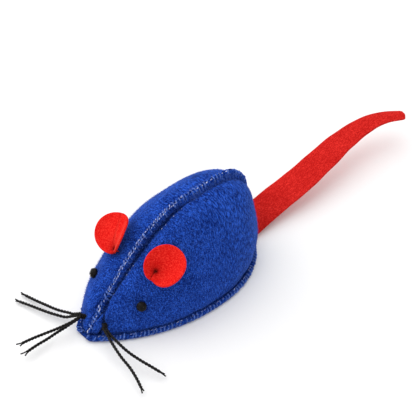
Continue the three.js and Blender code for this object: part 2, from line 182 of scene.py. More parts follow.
def two_tones(tree, amount, low, high, dark, light):
    """A colour that goes from dark to light while an amount goes from low to high."""
    ramp = add_node(tree, "ShaderNodeValToRGB", {"Fac": amount})
    for element, place, code in zip(ramp.color_ramp.elements, (low, high), (dark, light)):
        element.position = place
        element.color = linear(code)
    return ramp.outputs["Color"]


def raised(tree, height, strength, depth):
    """A surface that looks raised where the height is great."""
    return add_node(tree, "ShaderNodeBump", {
        "Height": height, "Strength": strength, "Distance": depth}).outputs["Normal"]


# %% Felt material
clump_size = 0.55 * MM  # real clumps are half of this, which a picture of this size would not show
cloud_size = 9 * MM
cloud_share = 0.12
streak_across = 0.5  # millimetres in the lay attribute
streak_along = 2.2


def wool_felt(name, painted_shade, dark, light, sheen):
    """Matted wool: soft, without gloss, lighter where loose fibre catches the light at the edges."""
    material, tree, shader = new_material(name)
    place = add_node(tree, "ShaderNodeTexCoord").outputs["Object"]
    lay = add_node(tree, "ShaderNodeAttribute", attribute_name="lay").outputs["Vector"]
    brushed = add_node(tree, "ShaderNodeSeparateXYZ", {"Vector": lay}).outputs["Z"]
    drawn_and_painted_shade = add_node(tree, "ShaderNodeAttribute", attribute_name="drawn_and_painted_shade").outputs["Fac"]
    stroked = add_node(tree, "ShaderNodeMapping", {
        "Vector": lay, "Scale": (1 / streak_across, 1 / streak_along, 0)}).outputs["Vector"]
    clumps = speckle(tree, place, clump_size, detail=3, roughness=0.65, distortion=0.3)
    streaks = speckle(tree, stroked, 1, detail=3, roughness=0.6, distortion=0.2)
    clouds = speckle(tree, place, cloud_size, detail=2)
    fibre = add_node(tree, "ShaderNodeMix", {
        "Factor": brushed, "A": clumps, "B": streaks}).outputs["Result"]
    uneven = add_node(tree, "ShaderNodeMix", {
        "Factor": cloud_share, "A": fibre, "B": clouds}).outputs["Result"]
    tone = two_tones(tree, uneven, 0.445, 0.625, dark, light)
    # Painted shade: the colour goes towards the near-black shade tone as the second attribute rises.
    colour = add_node(tree, "ShaderNodeMix", {
        "Factor": drawn_and_painted_shade, 6: tone, 7: linear(painted_shade)}, data_type="RGBA").outputs[2]
    set_inputs(tree, shader, {
        "Base Color": colour, "Normal": raised(tree, fibre, 0.6, 0.5 * MM),
        "Roughness": 0.95, "Specular IOR Level": 0.02,
        "Sheen Weight": 0.6, "Sheen Roughness": 0.3, "Sheen Tint": linear(sheen)})
    return material


# The first tone of each felt is the near-black of its painted shade.
blue_felt = wool_felt("blue_wool_felt", "#030b26", "#0a236c", "#3368e2", "#7fa6ff")
# The ears and the tail are one red felt: the ears' copy is painted lighter for the light they catch, and the
# tail's darker for its shade.
ear_felt_painted_lit = wool_felt("ear_wool_felt_painted_lit", "#3c0304", "#de1614", "#ff3c31", "#ff8a76")
tail_felt_painted_shaded = wool_felt("tail_wool_felt_painted_shaded", "#3c0304", "#b61614", "#ee3630", "#ff8a76")
print("felt:", blue_felt.name, ear_felt_painted_lit.name, tail_felt_painted_shaded.name)

# %% [markdown]
# ## Thread
# Sewing thread and waxed cord are two plies twisted together. The twist shows as slanted glints, which
# are painted into the colour. The plies are modelled where thread is thick enough to see them, and the finer
# yarn inside each ply is a sine of the thread's own lay attribute: millimetres along it, and turns around it.

# %% Thread material
yarn_turn = 1.3  # millimetres of thread for one turn of its yarns
yarn_depth = 0.18  # how strongly the yarns show beside the painted glints
full_turn = 6.2832


def maths(tree, operation, *values):
    """The result of one sum on values or on other nodes' outputs."""
    return add_node(tree, "ShaderNodeMath", dict(enumerate(values)), operation=operation).outputs[0]


def twisted_thread(name, dark, light, roughness, gloss, painted_glint_size):
    """Spun and waxed yarn: a dull shine, with glints painted into its colour along the twist and in specks.
    """
    material, tree, shader = new_material(name)
    place = add_node(tree, "ShaderNodeTexCoord").outputs["Object"]
    lay = add_node(tree, "ShaderNodeAttribute", attribute_name="lay").outputs["Vector"]
    parts = add_node(tree, "ShaderNodeSeparateXYZ", {"Vector": lay}).outputs
    turns = maths(tree, "MULTIPLY_ADD", parts["X"], 1 / yarn_turn, parts["Y"])
    wave = maths(tree, "SINE", maths(tree, "MULTIPLY", turns, full_turn))
    # Painted glints: the colour runs from the dark tone to the light one along the twist and in specks.
    yarn = maths(tree, "MULTIPLY_ADD", wave, yarn_depth, speckle(tree, place, painted_glint_size, detail=3))
    set_inputs(tree, shader, {
        "Base Color": two_tones(tree, yarn, 0.3, 0.72, dark, light),
        "Normal": raised(tree, yarn, 0.5, 0.15 * MM),
        "Roughness": roughness, "Specular IOR Level": gloss})
    return material


# Each thread's light tone is a painted glint. The pale thread is a paler blue whose near-white specks are
# painted glints.
blue_thread = twisted_thread("blue_polyester_thread", "#0b1f60", "#5f88e4", 0.4, 0.3, 0.7 * MM)
pale_thread_with_painted_glints = twisted_thread("pale_polyester_thread_painted_glints", "#2b4db5", "#e6edff", 0.35, 0.4, 0.9 * MM)
red_thread = twisted_thread("red_polyester_thread", "#8f1414", "#d8332c", 0.4, 0.3, 0.6 * MM)
black_thread = twisted_thread("black_waxed_thread", "#020202", "#1e1b1a", 0.28, 0.12, 0.5 * MM)
print("thread:", blue_thread.name, pale_thread_with_painted_glints.name, red_thread.name, black_thread.name)

# %% [markdown]
# ## The seams that shape the body
# A flank is cut so that its lower edge follows the base seam and its upper edge the ridge seam. Both are
# short formulas, and the felt bows out between them on a Bezier curve: full under the ridge, flatter at
# the foot. A fitted subdivision cage could give the same form, but the formulas let every later piece,
# from an eye to a stitch, ask for its place by a share of the way along and a share of the way up.

# %% Body sizes in millimetres
import numpy as np

felt = 1.0
seam_gap = 0.3
body_length = 93.0
body_width = 54.0
widest_from_nose = 57.0
crown_height = 44.0
crown_from_nose = 56.0
tip_rise = 2.2  # of the two ends of the ridge above the lip
ridge_lean = 4.3  # to the mouse's left, at the crown
nose_fullness = 0.735
brow_fullness = 1.095
rump_squareness = 3.6
angle_at_base = np.radians(36)  # at which the felt leaves the base seam
angle_at_ridge = np.radians(78)
flank_fullness = 0.311
lip_under = felt + seam_gap
lip_top = lip_under + felt
flange_half = seam_gap / 2 + felt
nose_end = -body_length / 2
rump_end = body_length / 2
wall_inset = 1.25 * felt
outer_layer = (0.0, flange_half, lip_top)  # inset, half the width of the seam, height of the foot
inner_layer = (wall_inset, seam_gap / 2, lip_under)
print(f"body without lip and strip: {body_length:.0f} x {body_width:.0f} x {crown_height:.0f} mm")

# %% Seam curves
seam_steps = 4001
share_step = 1e-4


def unit(vectors):
    """Vectors of length 1 in the same directions."""
    return vectors / np.linalg.norm(vectors, axis=-1, keepdims=True)


def run_along(path):
    """Distance along a path of points, or along each row of a grid of them."""
    steps = np.linalg.norm(np.diff(path, axis=-2), axis=-1)
    return np.concatenate([0 * steps[..., :1], np.cumsum(steps, axis=-1)], axis=-1)


def base_seam(u, layer):
    """The groove between the left flank and the base: nose at 0, widest place at 0.5, rump at 1."""
    inset, seam_half, level = layer
    nose = nose_end + inset
    widest = nose_end + widest_from_nose
    along = np.clip(u / 0.5, 0, 1)
    turn = np.clip(u - 0.5, 0, 0.5) * np.pi
    out = np.where(u < 0.5, np.sin(np.pi / 2 * along ** nose_fullness), np.cos(turn))
    behind = widest + (rump_end - inset - widest) * np.sin(turn)
    y = np.where(u < 0.5, nose + along * (widest - nose), behind)
    reach = body_width / 2 - inset - seam_half
    return np.stack([seam_half + reach * out, y, np.full_like(y, level)], axis=-1)


def ridge_seam(u, layer):
    """The seam along the back: nose at 0, crown at 0.5, rump at 1."""
    inset, seam_half, _ = layer
    nose = nose_end + inset
    crown = nose_end + crown_from_nose
    tip = lip_top + tip_rise - inset
    along = np.clip(u / 0.5, 0, 1)
    turn = np.clip(u - 0.5, 0, 0.5) * np.pi
    square = 2 / rump_squareness
    up = np.where(u < 0.5, np.sin(np.pi / 2 * along ** brow_fullness), np.cos(turn).clip(0) ** square)
    behind = crown + (rump_end - inset - crown) * np.sin(turn) ** square
    y = np.where(u < 0.5, nose + along * (crown - nose), behind)
    z = tip + (crown_height - inset - tip) * up
    return np.stack([np.full_like(y, seam_half), y, z], axis=-1)


def on_seam(seam, layer, shares):
    """Points and directions at shares of a seam's length, and that length."""
    fine = np.linspace(0, 1, seam_steps)
    run = run_along(seam(fine, layer))
    at = [seam(np.interp((shares + step).clip(0, 1) * run[-1], run, fine), layer)
          for step in (0, -share_step, share_step)]
    return at[0], unit(at[2] - at[1]), run[-1]


base_length = on_seam(base_seam, outer_layer, np.zeros(1))[2]
ridge_length = on_seam(ridge_seam, outer_layer, np.zeros(1))[2]
print(f"base seam {base_length:.1f} mm on each side, ridge seam {ridge_length:.1f} mm")

# %% Flank surface and places on it
side_of = {"left": 1, "right": -1}
place_step = 0.01


def settled(points, side):
    """A left-hand shape on its own side of the mouse, with the lean of the uneven stuffing."""
    placed = np.array(points)
    placed[..., 0] *= side
    placed[..., 0] += ridge_lean * (placed[..., 2] - lip_under).clip(0) / crown_height
    return placed


def flank(shares, ups, layer, side):
    """Points of one flank, a row for each share along and a column for each share up."""
    foot, foot_way, _ = on_seam(base_seam, layer, shares)
    top, top_way, _ = on_seam(ridge_seam, layer, shares)
    chord = top - foot
    out = unit(np.cross(foot_way + top_way, chord))
    arm = np.linalg.norm(chord, axis=1, keepdims=True) * flank_fullness
    up = unit(chord)
    near_foot = foot + arm * (np.cos(angle_at_base) * up + np.sin(angle_at_base) * out)
    near_top = top + arm * (np.sin(angle_at_ridge) * out - np.cos(angle_at_ridge) * up)
    t = np.asarray(ups)[None, :, None]
    corners = [p[:, None, :] for p in (foot, near_foot, near_top, top)]
    weights = ((1 - t) ** 3, 3 * t * (1 - t) ** 2, 3 * t ** 2 * (1 - t), t ** 3)
    return settled(sum(w * p for w, p in zip(weights, corners)), side)


def place_on(share, up, side):
    """A point of the flank and the way out of it."""
    shares = np.array([share - place_step, share, share + place_step])
    near = flank(shares, [up - place_step, up, up + place_step], outer_layer, side)
    out = np.cross(near[2, 1] - near[0, 1], near[1, 2] - near[1, 0]) * side
    return near[1, 1], unit(out)


eyes = {"left": place_on(0.223, 0.42, 1), "right": place_on(0.21, 0.478, -1)}
ears = {"left": place_on(0.308, 0.64, 1), "right": place_on(0.28, 0.72, -1)}
knots = {"left": place_on(0.0725, 0.3825, 1), "right": place_on(0.045, 0.47, -1)}
for name, spots in (("eye", eyes), ("ear", ears), ("knot", knots)):
    print(name, {side: spot[0].round(1).tolist() for side, spot in spots.items()})

# %% [markdown]
# ## Whiskers
# Six stiff waxed threads come out of two knots beside the nose. They run in pairs and then spread, and
# their cut ends open into the two plies. A curve with a round bevel would look like wire, so each is a
# tube whose section is two round plies, turning along the route. The routes are listed below.

# %% Mesh from points


def add_attribute(mesh, name, values):
    """A number or a vector for each point of a mesh."""
    kind, key = ("FLOAT_VECTOR", "vector") if values.ndim > 1 else ("FLOAT", "value")
    mesh.attributes.new(name, kind, "POINT").data.foreach_set(key, np.ravel(values))


def make_piece(name, shape, material):
    """A closed mesh from points in millimetres, faces and lay, turned to face outwards."""
    points, faces, lay = shape
    mesh = bpy.data.meshes.new(name)
    mesh.from_pydata((np.asarray(points) * MM).tolist(), [], faces)
    add_attribute(mesh, "lay", lay[:, :3])
    # The lay's fourth column, where a piece has one, is its painted shade.
    if lay.shape[1] > 3:
        add_attribute(mesh, "drawn_and_painted_shade", lay[:, 3])
    mesh.shade_smooth()
    mesh.materials.append(material)
    obj = put_in_scene(name, mesh)
    mesh.calc_loop_triangles()
    corners = np.array([t.vertices[:] for t in mesh.loop_triangles])
    a, b, c = np.asarray(points)[corners].transpose(1, 0, 2)
    volume = (a * np.cross(b, c)).sum() / 6
    if volume < 0:
        mesh.flip_normals()
    print(f"{name}: {len(corners)} triangles, {abs(volume):.1f} cubic mm")
    return obj


def joined(parts):
    """Several closed shapes as the points, faces and lay of one."""
    points, faces, lays = [], [], []
    for part_points, part_faces, part_lay in parts:
        start = sum(len(p) for p in points)
        faces += [[i + start for i in face] for face in part_faces]
        points.append(part_points)
        lays.append(part_lay)
    return np.concatenate(points), faces, np.concatenate(lays)


def belongs(piece, body, node):
    """Says which body a piece rides on and which node it stands for."""
    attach(piece, body)
    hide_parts(node)


# %% Smooth curve through a route
route_steps = 60  # between one point of a route and the next


def smooth_route(route, count):
    """Even points on a smooth curve through a route, by the centripetal Catmull-Rom rule."""
    p = np.asarray(route, float)
    p = np.concatenate([[2 * p[0] - p[1]], p, [2 * p[-1] - p[-2]]])
    knot = np.linalg.norm(np.diff(p, axis=0), axis=1) ** 0.5
    t = np.linspace(0, 1, route_steps, endpoint=False)[:, None]
    pieces = []
    for i in range(1, len(p) - 2):
        before, here, after = knot[i - 1:i + 2]
        step = p[i + 1] - p[i]
        leave = here * ((p[i] - p[i - 1]) / before - (p[i + 1] - p[i - 1]) / (before + here)) + step
        arrive = here * ((p[i + 2] - p[i + 1]) / after - (p[i + 2] - p[i]) / (here + after)) + step
        curve = 2 * t ** 3 - 3 * t ** 2
        pieces.append((1 + curve) * p[i] - curve * p[i + 1]
                      + (t ** 3 - 2 * t ** 2 + t) * leave + (t ** 3 - t ** 2) * arrive)
    fine = np.concatenate(pieces + [p[-2:-1]])
    run = run_along(fine)
    even = np.linspace(0, run[-1], count)
    return np.stack([np.interp(even, run, fine[:, k]) for k in range(3)], axis=1), run[-1]


# %% Thread along a path
two_plies = (0.34, 0.16)  # radius of a ply and its distance from the middle, as shares of the diameter
one_ply = (0.5, 0.0)
first_across = [0.31, 0.52, 0.8]  # any way that no thread starts along


def tube_faces(rows, around):
    """Four-sided faces between the rings of points of a tube."""
    row = np.arange(rows - 1)[:, None] * around
    column = np.arange(around)[None]
    after = (column + 1) % around
    corners = (row + column, row + after, row + around + after, row + around + column)
    return np.stack(corners, -1).reshape(-1, 4).tolist()


def thread_along(path, diameter, ply_turn, sides=14, plied=True):
    """Two plies twisted together along a path, or a single one, closed by a fan at each end."""
    ahead = unit(np.gradient(path, axis=0))
    across = [unit(np.cross(ahead[0], first_across))]
    for way in ahead[1:]:
        across.append(unit(across[-1] - way * (across[-1] @ way)))
    across = np.array(across)
    over = np.cross(ahead, across)
    run = run_along(path)
    angle = np.linspace(0, 2 * np.pi, sides, endpoint=False)
    turned = angle[None] - 2 * np.pi * run[:, None] / ply_turn
    ply, apart = two_plies if plied else one_ply
    radius = diameter * (apart * abs(np.cos(turned)) + np.sqrt(ply ** 2 - (apart * np.sin(turned)) ** 2))
    ring = across[:, None] * np.cos(angle)[:, None] + over[:, None] * np.sin(angle)[:, None]
    points = (path[:, None] + radius[..., None] * ring).reshape(-1, 3)
    rows = len(path)
    first, last = len(points), len(points) + 1
    end = (rows - 1) * sides
    faces = tube_faces(rows, sides)
    faces += [[first, (k + 1) % sides, k] for k in range(sides)]
    faces += [[last, end + k, end + (k + 1) % sides] for k in range(sides)]
    turns = np.tile(angle / (2 * np.pi), rows)
    lay = np.stack([np.repeat(run, sides), turns, 0 * turns], axis=1)
    lay = np.concatenate([lay, lay[:1], lay[-1:]])
    return np.concatenate([points, path[:1], path[-1:]]), faces, lay


# %% Whisker routes
whisker = 1.25
whisker_over_plies = 1.42  # across the widest of the two plies
whisker_turn = 3.0  # millimetres of whisker for one turn of its plies
whisker_points = 130
knot_length = 2.0

whisker_routes = {
    "left": [
        [(0.57, 0.49, 0), (8.99, -1.15, -0.65), (15.39, -1.15, -1.85), (21.59, -0.15, -2.95),
         (27.69, 1.25, -3.95), (33.69, 2.55, -4.95)],
        [(-0.57, -0.49, 0), (9.79, -3.85, -0.65), (15.69, -5.25, -1.85), (21.69, -6.15, -2.95),
         (27.69, -7.95, -3.95), (33.49, -10.35, -4.95)],
    ],
    "right": [
        [(-0.4, 0.66, 0.7), (-6.87, -0.2, -3.05), (-12.57, -1.97, -4.1), (-18.67, -2.97, -4.9),
         (-24.87, -3.87, -5.7), (-33.07, -4.97, -6.4)],
        [(-0.82, 0.17, -0.58), (-6.07, -2.1, -3.95), (-11.37, -4.37, -4.4), (-17.37, -6.07, -5),
         (-23.77, -7.47, -5.7), (-31.67, -9.47, -6.4)],
        [(0.82, -0.17, 0.58), (-1.27, -6.47, -1.4), (-2.27, -11.97, -1.1), (-3.47, -17.27, -0.7),
         (-4.57, -22.67, -0.2), (-5.57, -30.17, 0.5)],
        [(0.4, -0.66, -0.7), (-1.57, -5.97, -3.1), (-1.87, -11.77, -3), (-1.97, -17.27, -2.9),
         (-2.37, -22.77, -2.8), (-2.47, -30.47, -2.8)],
    ],
}
print("whiskers:", {side: len(routes) for side, routes in whisker_routes.items()})

# %% Whiskers
bundle_apart = 1.15
bundle_length = 6.0
bundle_parting = 1.6  # how suddenly a pair parts
fray_length = 2.6
fray_inside = 1.2  # the opened plies start this far inside the strand
fray_reach = fray_length + 1.0  # mean length of the opened plies
fray_uneven = 0.5  # one is longer than the mean by this much, and one is shorter
fray_turn = 1.1
fray_start = 0.22  # of the opening, where they start to part
fray_opening = 0.25
fray_opening_step = 0.12  # more for each whisker of a side
fray_across = [0.2, 0.3, 0.93]  # any way that no whisker ends along


def frayed_plies(path, opening):
    """The two plies at a cut end, opening away from each other."""
    ahead = unit(path[-1] - path[-4])
    apart = unit(np.cross(ahead, fray_across)) * opening
    t = np.linspace(0, 1, 9)[:, None]
    start = path[-1] - ahead * fray_inside
    plies = []
    for way in (-1, 1):
        length = fray_reach + fray_uneven * way
        open_to = fray_start + (1 - fray_start) * t ** 2
        line = start + ahead * length * t + way * apart * open_to * whisker
        plies.append(thread_along(line, 0.5 * whisker, fray_turn, 8, plied=False))
    return plies


def drawn_together(path, partner):
    """A path that keeps close to its partner's before the two part."""
    apart = partner - path
    gap = np.linalg.norm(apart, axis=1, keepdims=True)
    from_knot = np.linalg.norm(path - path[0], axis=1, keepdims=True)
    hold = 1 / (1 + np.exp(bundle_parting * (from_knot - bundle_length)))
    return path + apart / gap * ((gap - bundle_apart) / 2).clip(0) * hold


for side, routes in whisker_routes.items():
    spot, out = knots[side]
    start = spot + out * (2 * seam_gap + knot_length)
    paths = [smooth_route(np.array(route) + start, whisker_points)[0] for route in routes]
    for number, path in enumerate(paths, 1):
        path = drawn_together(path, paths[(number - 1) ^ 1])
        length = run_along(path)[-1]
        whole = round((1 - fray_length / length) * len(path))
        strand = thread_along(path[:whole], whisker_over_plies, whisker_turn)
        ends = frayed_plies(path[:whole], fray_opening + fray_opening_step * number)
        name = f"whisker_{side}_{number}"
        piece = make_piece(f"{name}_thread", joined([strand] + ends), black_thread)
        belongs(piece, "body", name)
        print(f"{name}: {length:.1f} mm")

# %% [markdown]
# ## Eyes and whisker knots
# The eyes are French knots: thread wound round the needle and pulled down into a bead. A textured ball
# would lose the lumpy outline, so one unbroken thread is wound on a flattened ball, its loops tilted and
# turned a little each time round. The whisker knots are the same thread, coiled round the bundle.

# %% Eyes
eye_diameter = 4.6
eye_height = 4.5
eye_thread_size = 1.15
eye_thread_turn = 2.2
eye_loops = 6
loop_points = 28
loop_tilt = np.radians(62)
tilt_swings = 1.5  # of the loops over and back, from the first to the last
tilt_start = 0.4
loop_drift = 1.13  # turns of the loops about the way out, from the first to the last
bead_foot = 0.1  # the lowest loops are this far out of the felt
core_foot = -0.6
core_top = 0.75 * eye_height
core_width = 0.6 * eye_diameter
core_turn = 9


def from_axes(local, spot, out):
    """Points given as sideways, upright and out of the felt, at a spot on it."""
    sideways = unit(np.cross([0.0, 0.0, 1.0], out))
    upright = np.cross(out, sideways)
    return spot + local[:, :1] * sideways + local[:, 1:2] * upright + local[:, 2:] * out


def straight_out(first, last, count):
    """Points on a straight line out of the felt."""
    return np.stack([np.zeros(count), np.zeros(count), np.linspace(first, last, count)], 1)


def wound_bead(spot, out):
    """One thread wound over a low bead, with a plain core that its loops hide."""
    radius = (eye_diameter - eye_thread_size) / 2
    middle = (eye_height - eye_thread_size) / 2
    t = np.linspace(0, 1, eye_loops * loop_points)
    winding = 2 * np.pi * eye_loops * t
    tilt = loop_tilt * np.sin(2 * np.pi * tilt_swings * t + tilt_start)
    drift = 2 * np.pi * loop_drift * t
    x = np.cos(winding)
    y = np.sin(winding) * np.cos(tilt)
    z = np.sin(winding) * np.sin(tilt)
    wound = np.stack([x * np.cos(drift) - y * np.sin(drift), x * np.sin(drift) + y * np.cos(drift), z], 1)
    wound = wound * [radius, radius, middle] + [0, 0, middle + bead_foot]
    core = straight_out(core_foot, core_top, 7)
    bead = thread_along(from_axes(wound, spot, out), eye_thread_size, eye_thread_turn, 10)
    return joined([bead, thread_along(from_axes(core, spot, out), core_width, core_turn, plied=False)])


for side, (spot, out) in eyes.items():
    eye = make_piece(f"eye_bead_{side}", wound_bead(spot, out), black_thread)
    belongs(eye, "body", f"eye_{side}")

# %% Whisker knots
knot_radius = 0.85
knot_turns = 3.4
knot_foot = -0.2
knot_rise = 3.0
knot_narrowing = 0.25  # of the radius, at both ends
knot_thread = 0.95
knot_thread_turn = 2.4
bundle_foot = -0.8
bundle_top = 2.75
bundle_width = 1.6
bundle_turn = 5

for side, (spot, out) in knots.items():
    t = np.linspace(0, 1, 90)
    coil_angle = 2 * np.pi * knot_turns * t
    swell = knot_radius * (1 - knot_narrowing * (2 * t - 1) ** 4)
    coil = np.stack([swell * np.cos(coil_angle), swell * np.sin(coil_angle), knot_foot + knot_rise * t], 1)
    core = straight_out(bundle_foot, bundle_top, 6)
    wraps = thread_along(from_axes(coil, spot, out), knot_thread, knot_thread_turn, 12)
    bundle = thread_along(from_axes(core, spot, out), bundle_width, bundle_turn, 12)
    knot = make_piece(f"whisker_knot_{side}_wraps", joined([wraps, bundle]), black_thread)
    belongs(knot, "body", f"whisker_knot_{side}")

for inner in ("eye_thread", "whisker_cross_thread"):
    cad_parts[inner].data.materials.clear()
    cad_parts[inner].data.materials.append(black_thread)

# %% [markdown]
# ## Flanks
# Each flank is one sheet of felt: a lip that lies on the base, a bulging side, and an upright strip that
# meets the other flank's along the ridge. Stuffing makes broad lumps in it, stitches draw it in at the
# seams every few millimetres, and the knots of the eyes, ears and whiskers pull dimples. The sheet is
# lofted row by row with rounded cut edges, and the lumps, puckers and dimples are moved in by code.

# %% A sheet of felt with round edges
edge_steps = 3


def round_edge(start, end, inside, steps):
    """Points round the cut edge of a sheet, from one face to the other."""
    middle = (start + end) / 2
    half = (start - end) / 2
    away = middle - inside
    away = away - half * (away * half).sum(-1, keepdims=True) / (half * half).sum(-1, keepdims=True)
    away = unit(away) * np.linalg.norm(half, axis=-1, keepdims=True)
    turns = np.linspace(0, np.pi, steps + 2)[1:-1]
    return [(middle + half * np.cos(a) + away * np.sin(a))[:, None] for a in turns]


def felt_sheet(front, back, lay, steps=edge_steps):
    """Closed loops round a sheet, one for each row: the front, a round edge, the back, a round edge."""
    rows, columns = front.shape[:2]
    top = round_edge(front[:, -1], back[:, -1], (front[:, -2] + back[:, -2]) / 2, steps)
    low = round_edge(back[:, 0], front[:, 0], (front[:, 1] + back[:, 1]) / 2, steps)
    loops = np.concatenate([front] + top + [back[:, ::-1]] + low, axis=1)
    lays = np.concatenate([lay] + [lay[:, -1:]] * steps + [lay[:, ::-1]] + [lay[:, :1]] * steps, axis=1)
    around = loops.shape[1]
    faces = tube_faces(rows, around)
    end = (rows - 1) * around
    behind = [columns + steps + columns - 1 - k for k in range(columns)]
    for k in range(columns - 1):
        faces.append([end + k, end + k + 1, end + behind[k + 1], end + behind[k]])
        faces.append([behind[k], behind[k + 1], k + 1, k])
    if steps:
        upper = list(range(columns - 1, columns + steps + 1))
        lower = list(range(around - steps - 1, around)) + [0]
        for chain in (upper, lower):
            faces.append([end + k for k in chain])
            faces.append(chain[::-1])
    return loops.reshape(-1, 3), faces, lays.reshape(-1, lay.shape[-1])


# %% Width of the lip and height of the ridge strip
stitch = 2.4
lip_width = 2.3
lip_pull = 0.16  # how far each stitch draws in the edge of the lip
chin_extra = 0.8  # more lip under the chin
chin_share = 0.1
cheek_tuck = 1.2  # the lip is tucked in by this much below the right cheek
lobe = 1.4  # the lip rounds off over this length beside the nose
lobe_extra = {1: 0.6, -1: -0.1}  # the left side of the lip is the fuller at the nose
rump_rounding = 1.5
ridge_flange = 3.4  # full height of the strip
strip_pull = 0.18  # how far each stitch draws down its top
strip_rounding = 3.0
strip_places = [0, 0.06, 0.12, 0.24, 0.4, 0.52, 0.6, 0.7, 0.86, 1]  # from nose to rump
strip_profile = [0.4, 0.5, 0.7, 1, 1, 0.85, 0.85, 1.15, 1.05, 0.8]  # of the full height, at these places


def smooth_step(value):
    """0 up to 0, 1 from 1 on, and a soft S between."""
    t = np.clip(value, 0, 1)
    return t * t * (3 - 2 * t)


def bell(distance, width):
    """1 at no distance, falling off smoothly over about the given width."""
    return np.exp(-(distance / width) ** 2)


def dips(distance):
    """1 at each stitch and 0 half way between two."""
    return 0.5 + 0.5 * np.cos(2 * np.pi * distance / stitch)


def rounded_end(distance, radius, least):
    """A share that rises from least to 1 over a quarter of a circle."""
    t = (distance / radius).clip(0, 1)
    return np.maximum(np.sqrt(1 - (1 - t) ** 2), least)


def lip_reach(shares, side):
    """How far the lip reaches out of the groove."""
    chin = (chin_extra + lobe_extra[side]) * (1 - shares / chin_share).clip(0) ** 2
    tuck = cheek_tuck * smooth_step((shares - 0.03) / 0.05) * (1 - smooth_step((shares - 0.2) / 0.2))
    width = lip_width + chin - (tuck if side < 0 else 0)
    distance = shares * base_length
    corner = rounded_end(distance, lobe, 0.6) * rounded_end(base_length - distance, rump_rounding, 0.6)
    return width * corner - lip_pull * dips(distance)


def strip_height(shares):
    """The strip is low at the nose, full on the brow, lower on the crown and tallest at the rump."""
    distance = shares * ridge_length
    end = rounded_end(ridge_length - distance, strip_rounding, 0.2)
    full = np.interp(shares, strip_places, strip_profile)
    return ridge_flange * full * end - strip_pull * dips(distance)


# %% Lean of the ridge strip
nose_swing = 1.5  # the strip ends this far to the left of the nose
strip_tilt = 0.9  # it leans over to the right by this much at its full height
rump_lean = 1.0  # and to the left on the rump
nose_run = 1.6  # its end runs on by this much, down over the nose


def strip_shift(shares, rise):
    """The way to the side that the strip leans: right on the brow, left at the nose and on the rump."""
    on_brow = smooth_step((shares - 0.12) / 0.16) - smooth_step((shares - 0.42) / 0.2)
    on_rump = smooth_step((shares - 0.7) / 0.1) - smooth_step((shares - 0.84) / 0.12)
    lean = rump_lean * on_rump - strip_tilt * on_brow
    return nose_swing * (1 - smooth_step(shares / 0.12)) + lean * rise / ridge_flange


def nose_fall(shares):
    """How far the end of the strip runs on, down over the nose."""
    return nose_run * (1 - shares / 0.03).clip(0)


def behind_crown(shares):
    """0 ahead of the crown and 1 behind it."""
    return smooth_step((shares - 0.42) / 0.16)


# %% Lip and ridge strip of a flank
lip_in = np.linspace(0, 1, 7)  # steps from the edge of the lip in to the groove
lip_swell = 0.2  # the lip is thicker half way in
lip_held = 0.18  # and drawn in at each stitch
groove_fall = 0.5  # its inner edge falls into the groove
lip_sink = 0.06  # its underside settles towards the base
strip_up = np.linspace(0.12, 1, 8)  # steps from the foot of the strip to its top
strip_swell = 0.5  # the strip is thicker half way up
strip_held = 0.6  # and drawn in at each stitch
stitch_climb = 0.8  # the way along that a stitch goes while it climbs the strip
foot_pinch = 0.35  # its foot is thinner by this much
rear_flare = 1.7  # but spreads by this much behind the crown, where it is pressed flat


def out_of_base(way):
    """The flat way out of the base seam."""
    return np.stack([way[:, 1], -way[:, 0], np.zeros(len(way))], -1)


def up_from_ridge(way):
    """The upright way out of the ridge seam."""
    return np.stack([np.zeros(len(way)), -way[:, 2], way[:, 1]], -1)


def lip(shares, side):
    """The seam allowance on the base, from its edge in to the groove: upper and lower points."""
    foot, way, _ = on_seam(base_seam, outer_layer, shares)
    t = lip_in
    reach = (lip_reach(shares, side) - felt / 2)[:, None] * (1 - t)
    upper = foot[:, None] + reach[..., None] * out_of_base(way)[:, None]
    lower = upper.copy()
    held = dips(shares * base_length)[:, None] * np.sin(np.pi * t)
    upper[..., 2] = lip_top + lip_swell * np.sin(np.pi * t) - groove_fall * t ** 5 - lip_held * held
    lower[..., 2] = lip_under - lip_sink
    return settled(upper, side), settled(lower, side)


def ridge_strip(shares, side):
    """The seam allowance that stands up along the ridge: outer and inner points."""
    foot, way, _ = on_seam(ridge_seam, outer_layer, shares)
    t = strip_up
    rise = (strip_height(shares) - felt / 2)[:, None] * t
    fall = nose_fall(shares)[:, None] * t
    outer = foot[:, None] + rise[..., None] * up_from_ridge(way)[:, None] - fall[..., None] * way[:, None]
    inner = outer.copy()
    held = dips((shares * ridge_length)[:, None] + stitch_climb * t)
    pressed = behind_crown(shares) * (1 - smooth_step((shares - 0.93) / 0.06))
    bulge = strip_swell - strip_held * held
    outer[..., 0] = flange_half - foot_pinch * (1 - t) ** 2 + bulge * np.sin(np.pi * t)
    outer[..., 0] += rear_flare * pressed[:, None] * (1 - t) ** 1.5
    inner[..., 0] = seam_gap / 2
    shift = strip_shift(shares[:, None], rise)
    outer, inner = settled(outer, side), settled(inner, side)
    outer[..., 0] += shift
    inner[..., 0] += shift
    return outer, inner


# %% Lumps, puckers and dimples
from mathutils import noise

lump_size = 13.0
lump_height = 0.42
small_lump_size = 5.5
small_lump_height = 0.14
seam_reach = 5  # how far from a seam it holds the felt
pucker = 0.26  # depth of the felt at each stitch of a seam
pucker_reach = 1.5
seam_wave = 0.4  # height of the slower waves along a seam
seam_wave_size = 6.5
groove_depth = {base_length: 0.55, ridge_length: 0.9}
groove_width = 0.65
groove_fade = 0.65  # of the depth of the ridge's groove, lost behind the crown
cheek_swell = 1.5  # the right cheek is the fuller
cheek_place = 0.16
cheek_width = 0.14
dimples = ((eyes, 0.55, 3.2), (ears, 1.7, 3.6), (knots, 0.9, 3.4))  # depth and width of each


def bumps(points, size, seed):
    """Smooth noise at points in millimetres."""
    flat = points.reshape(-1, 3) / size + seed
    return np.array([noise.noise(p) for p in flat.tolist()]).reshape(points.shape[:-1])


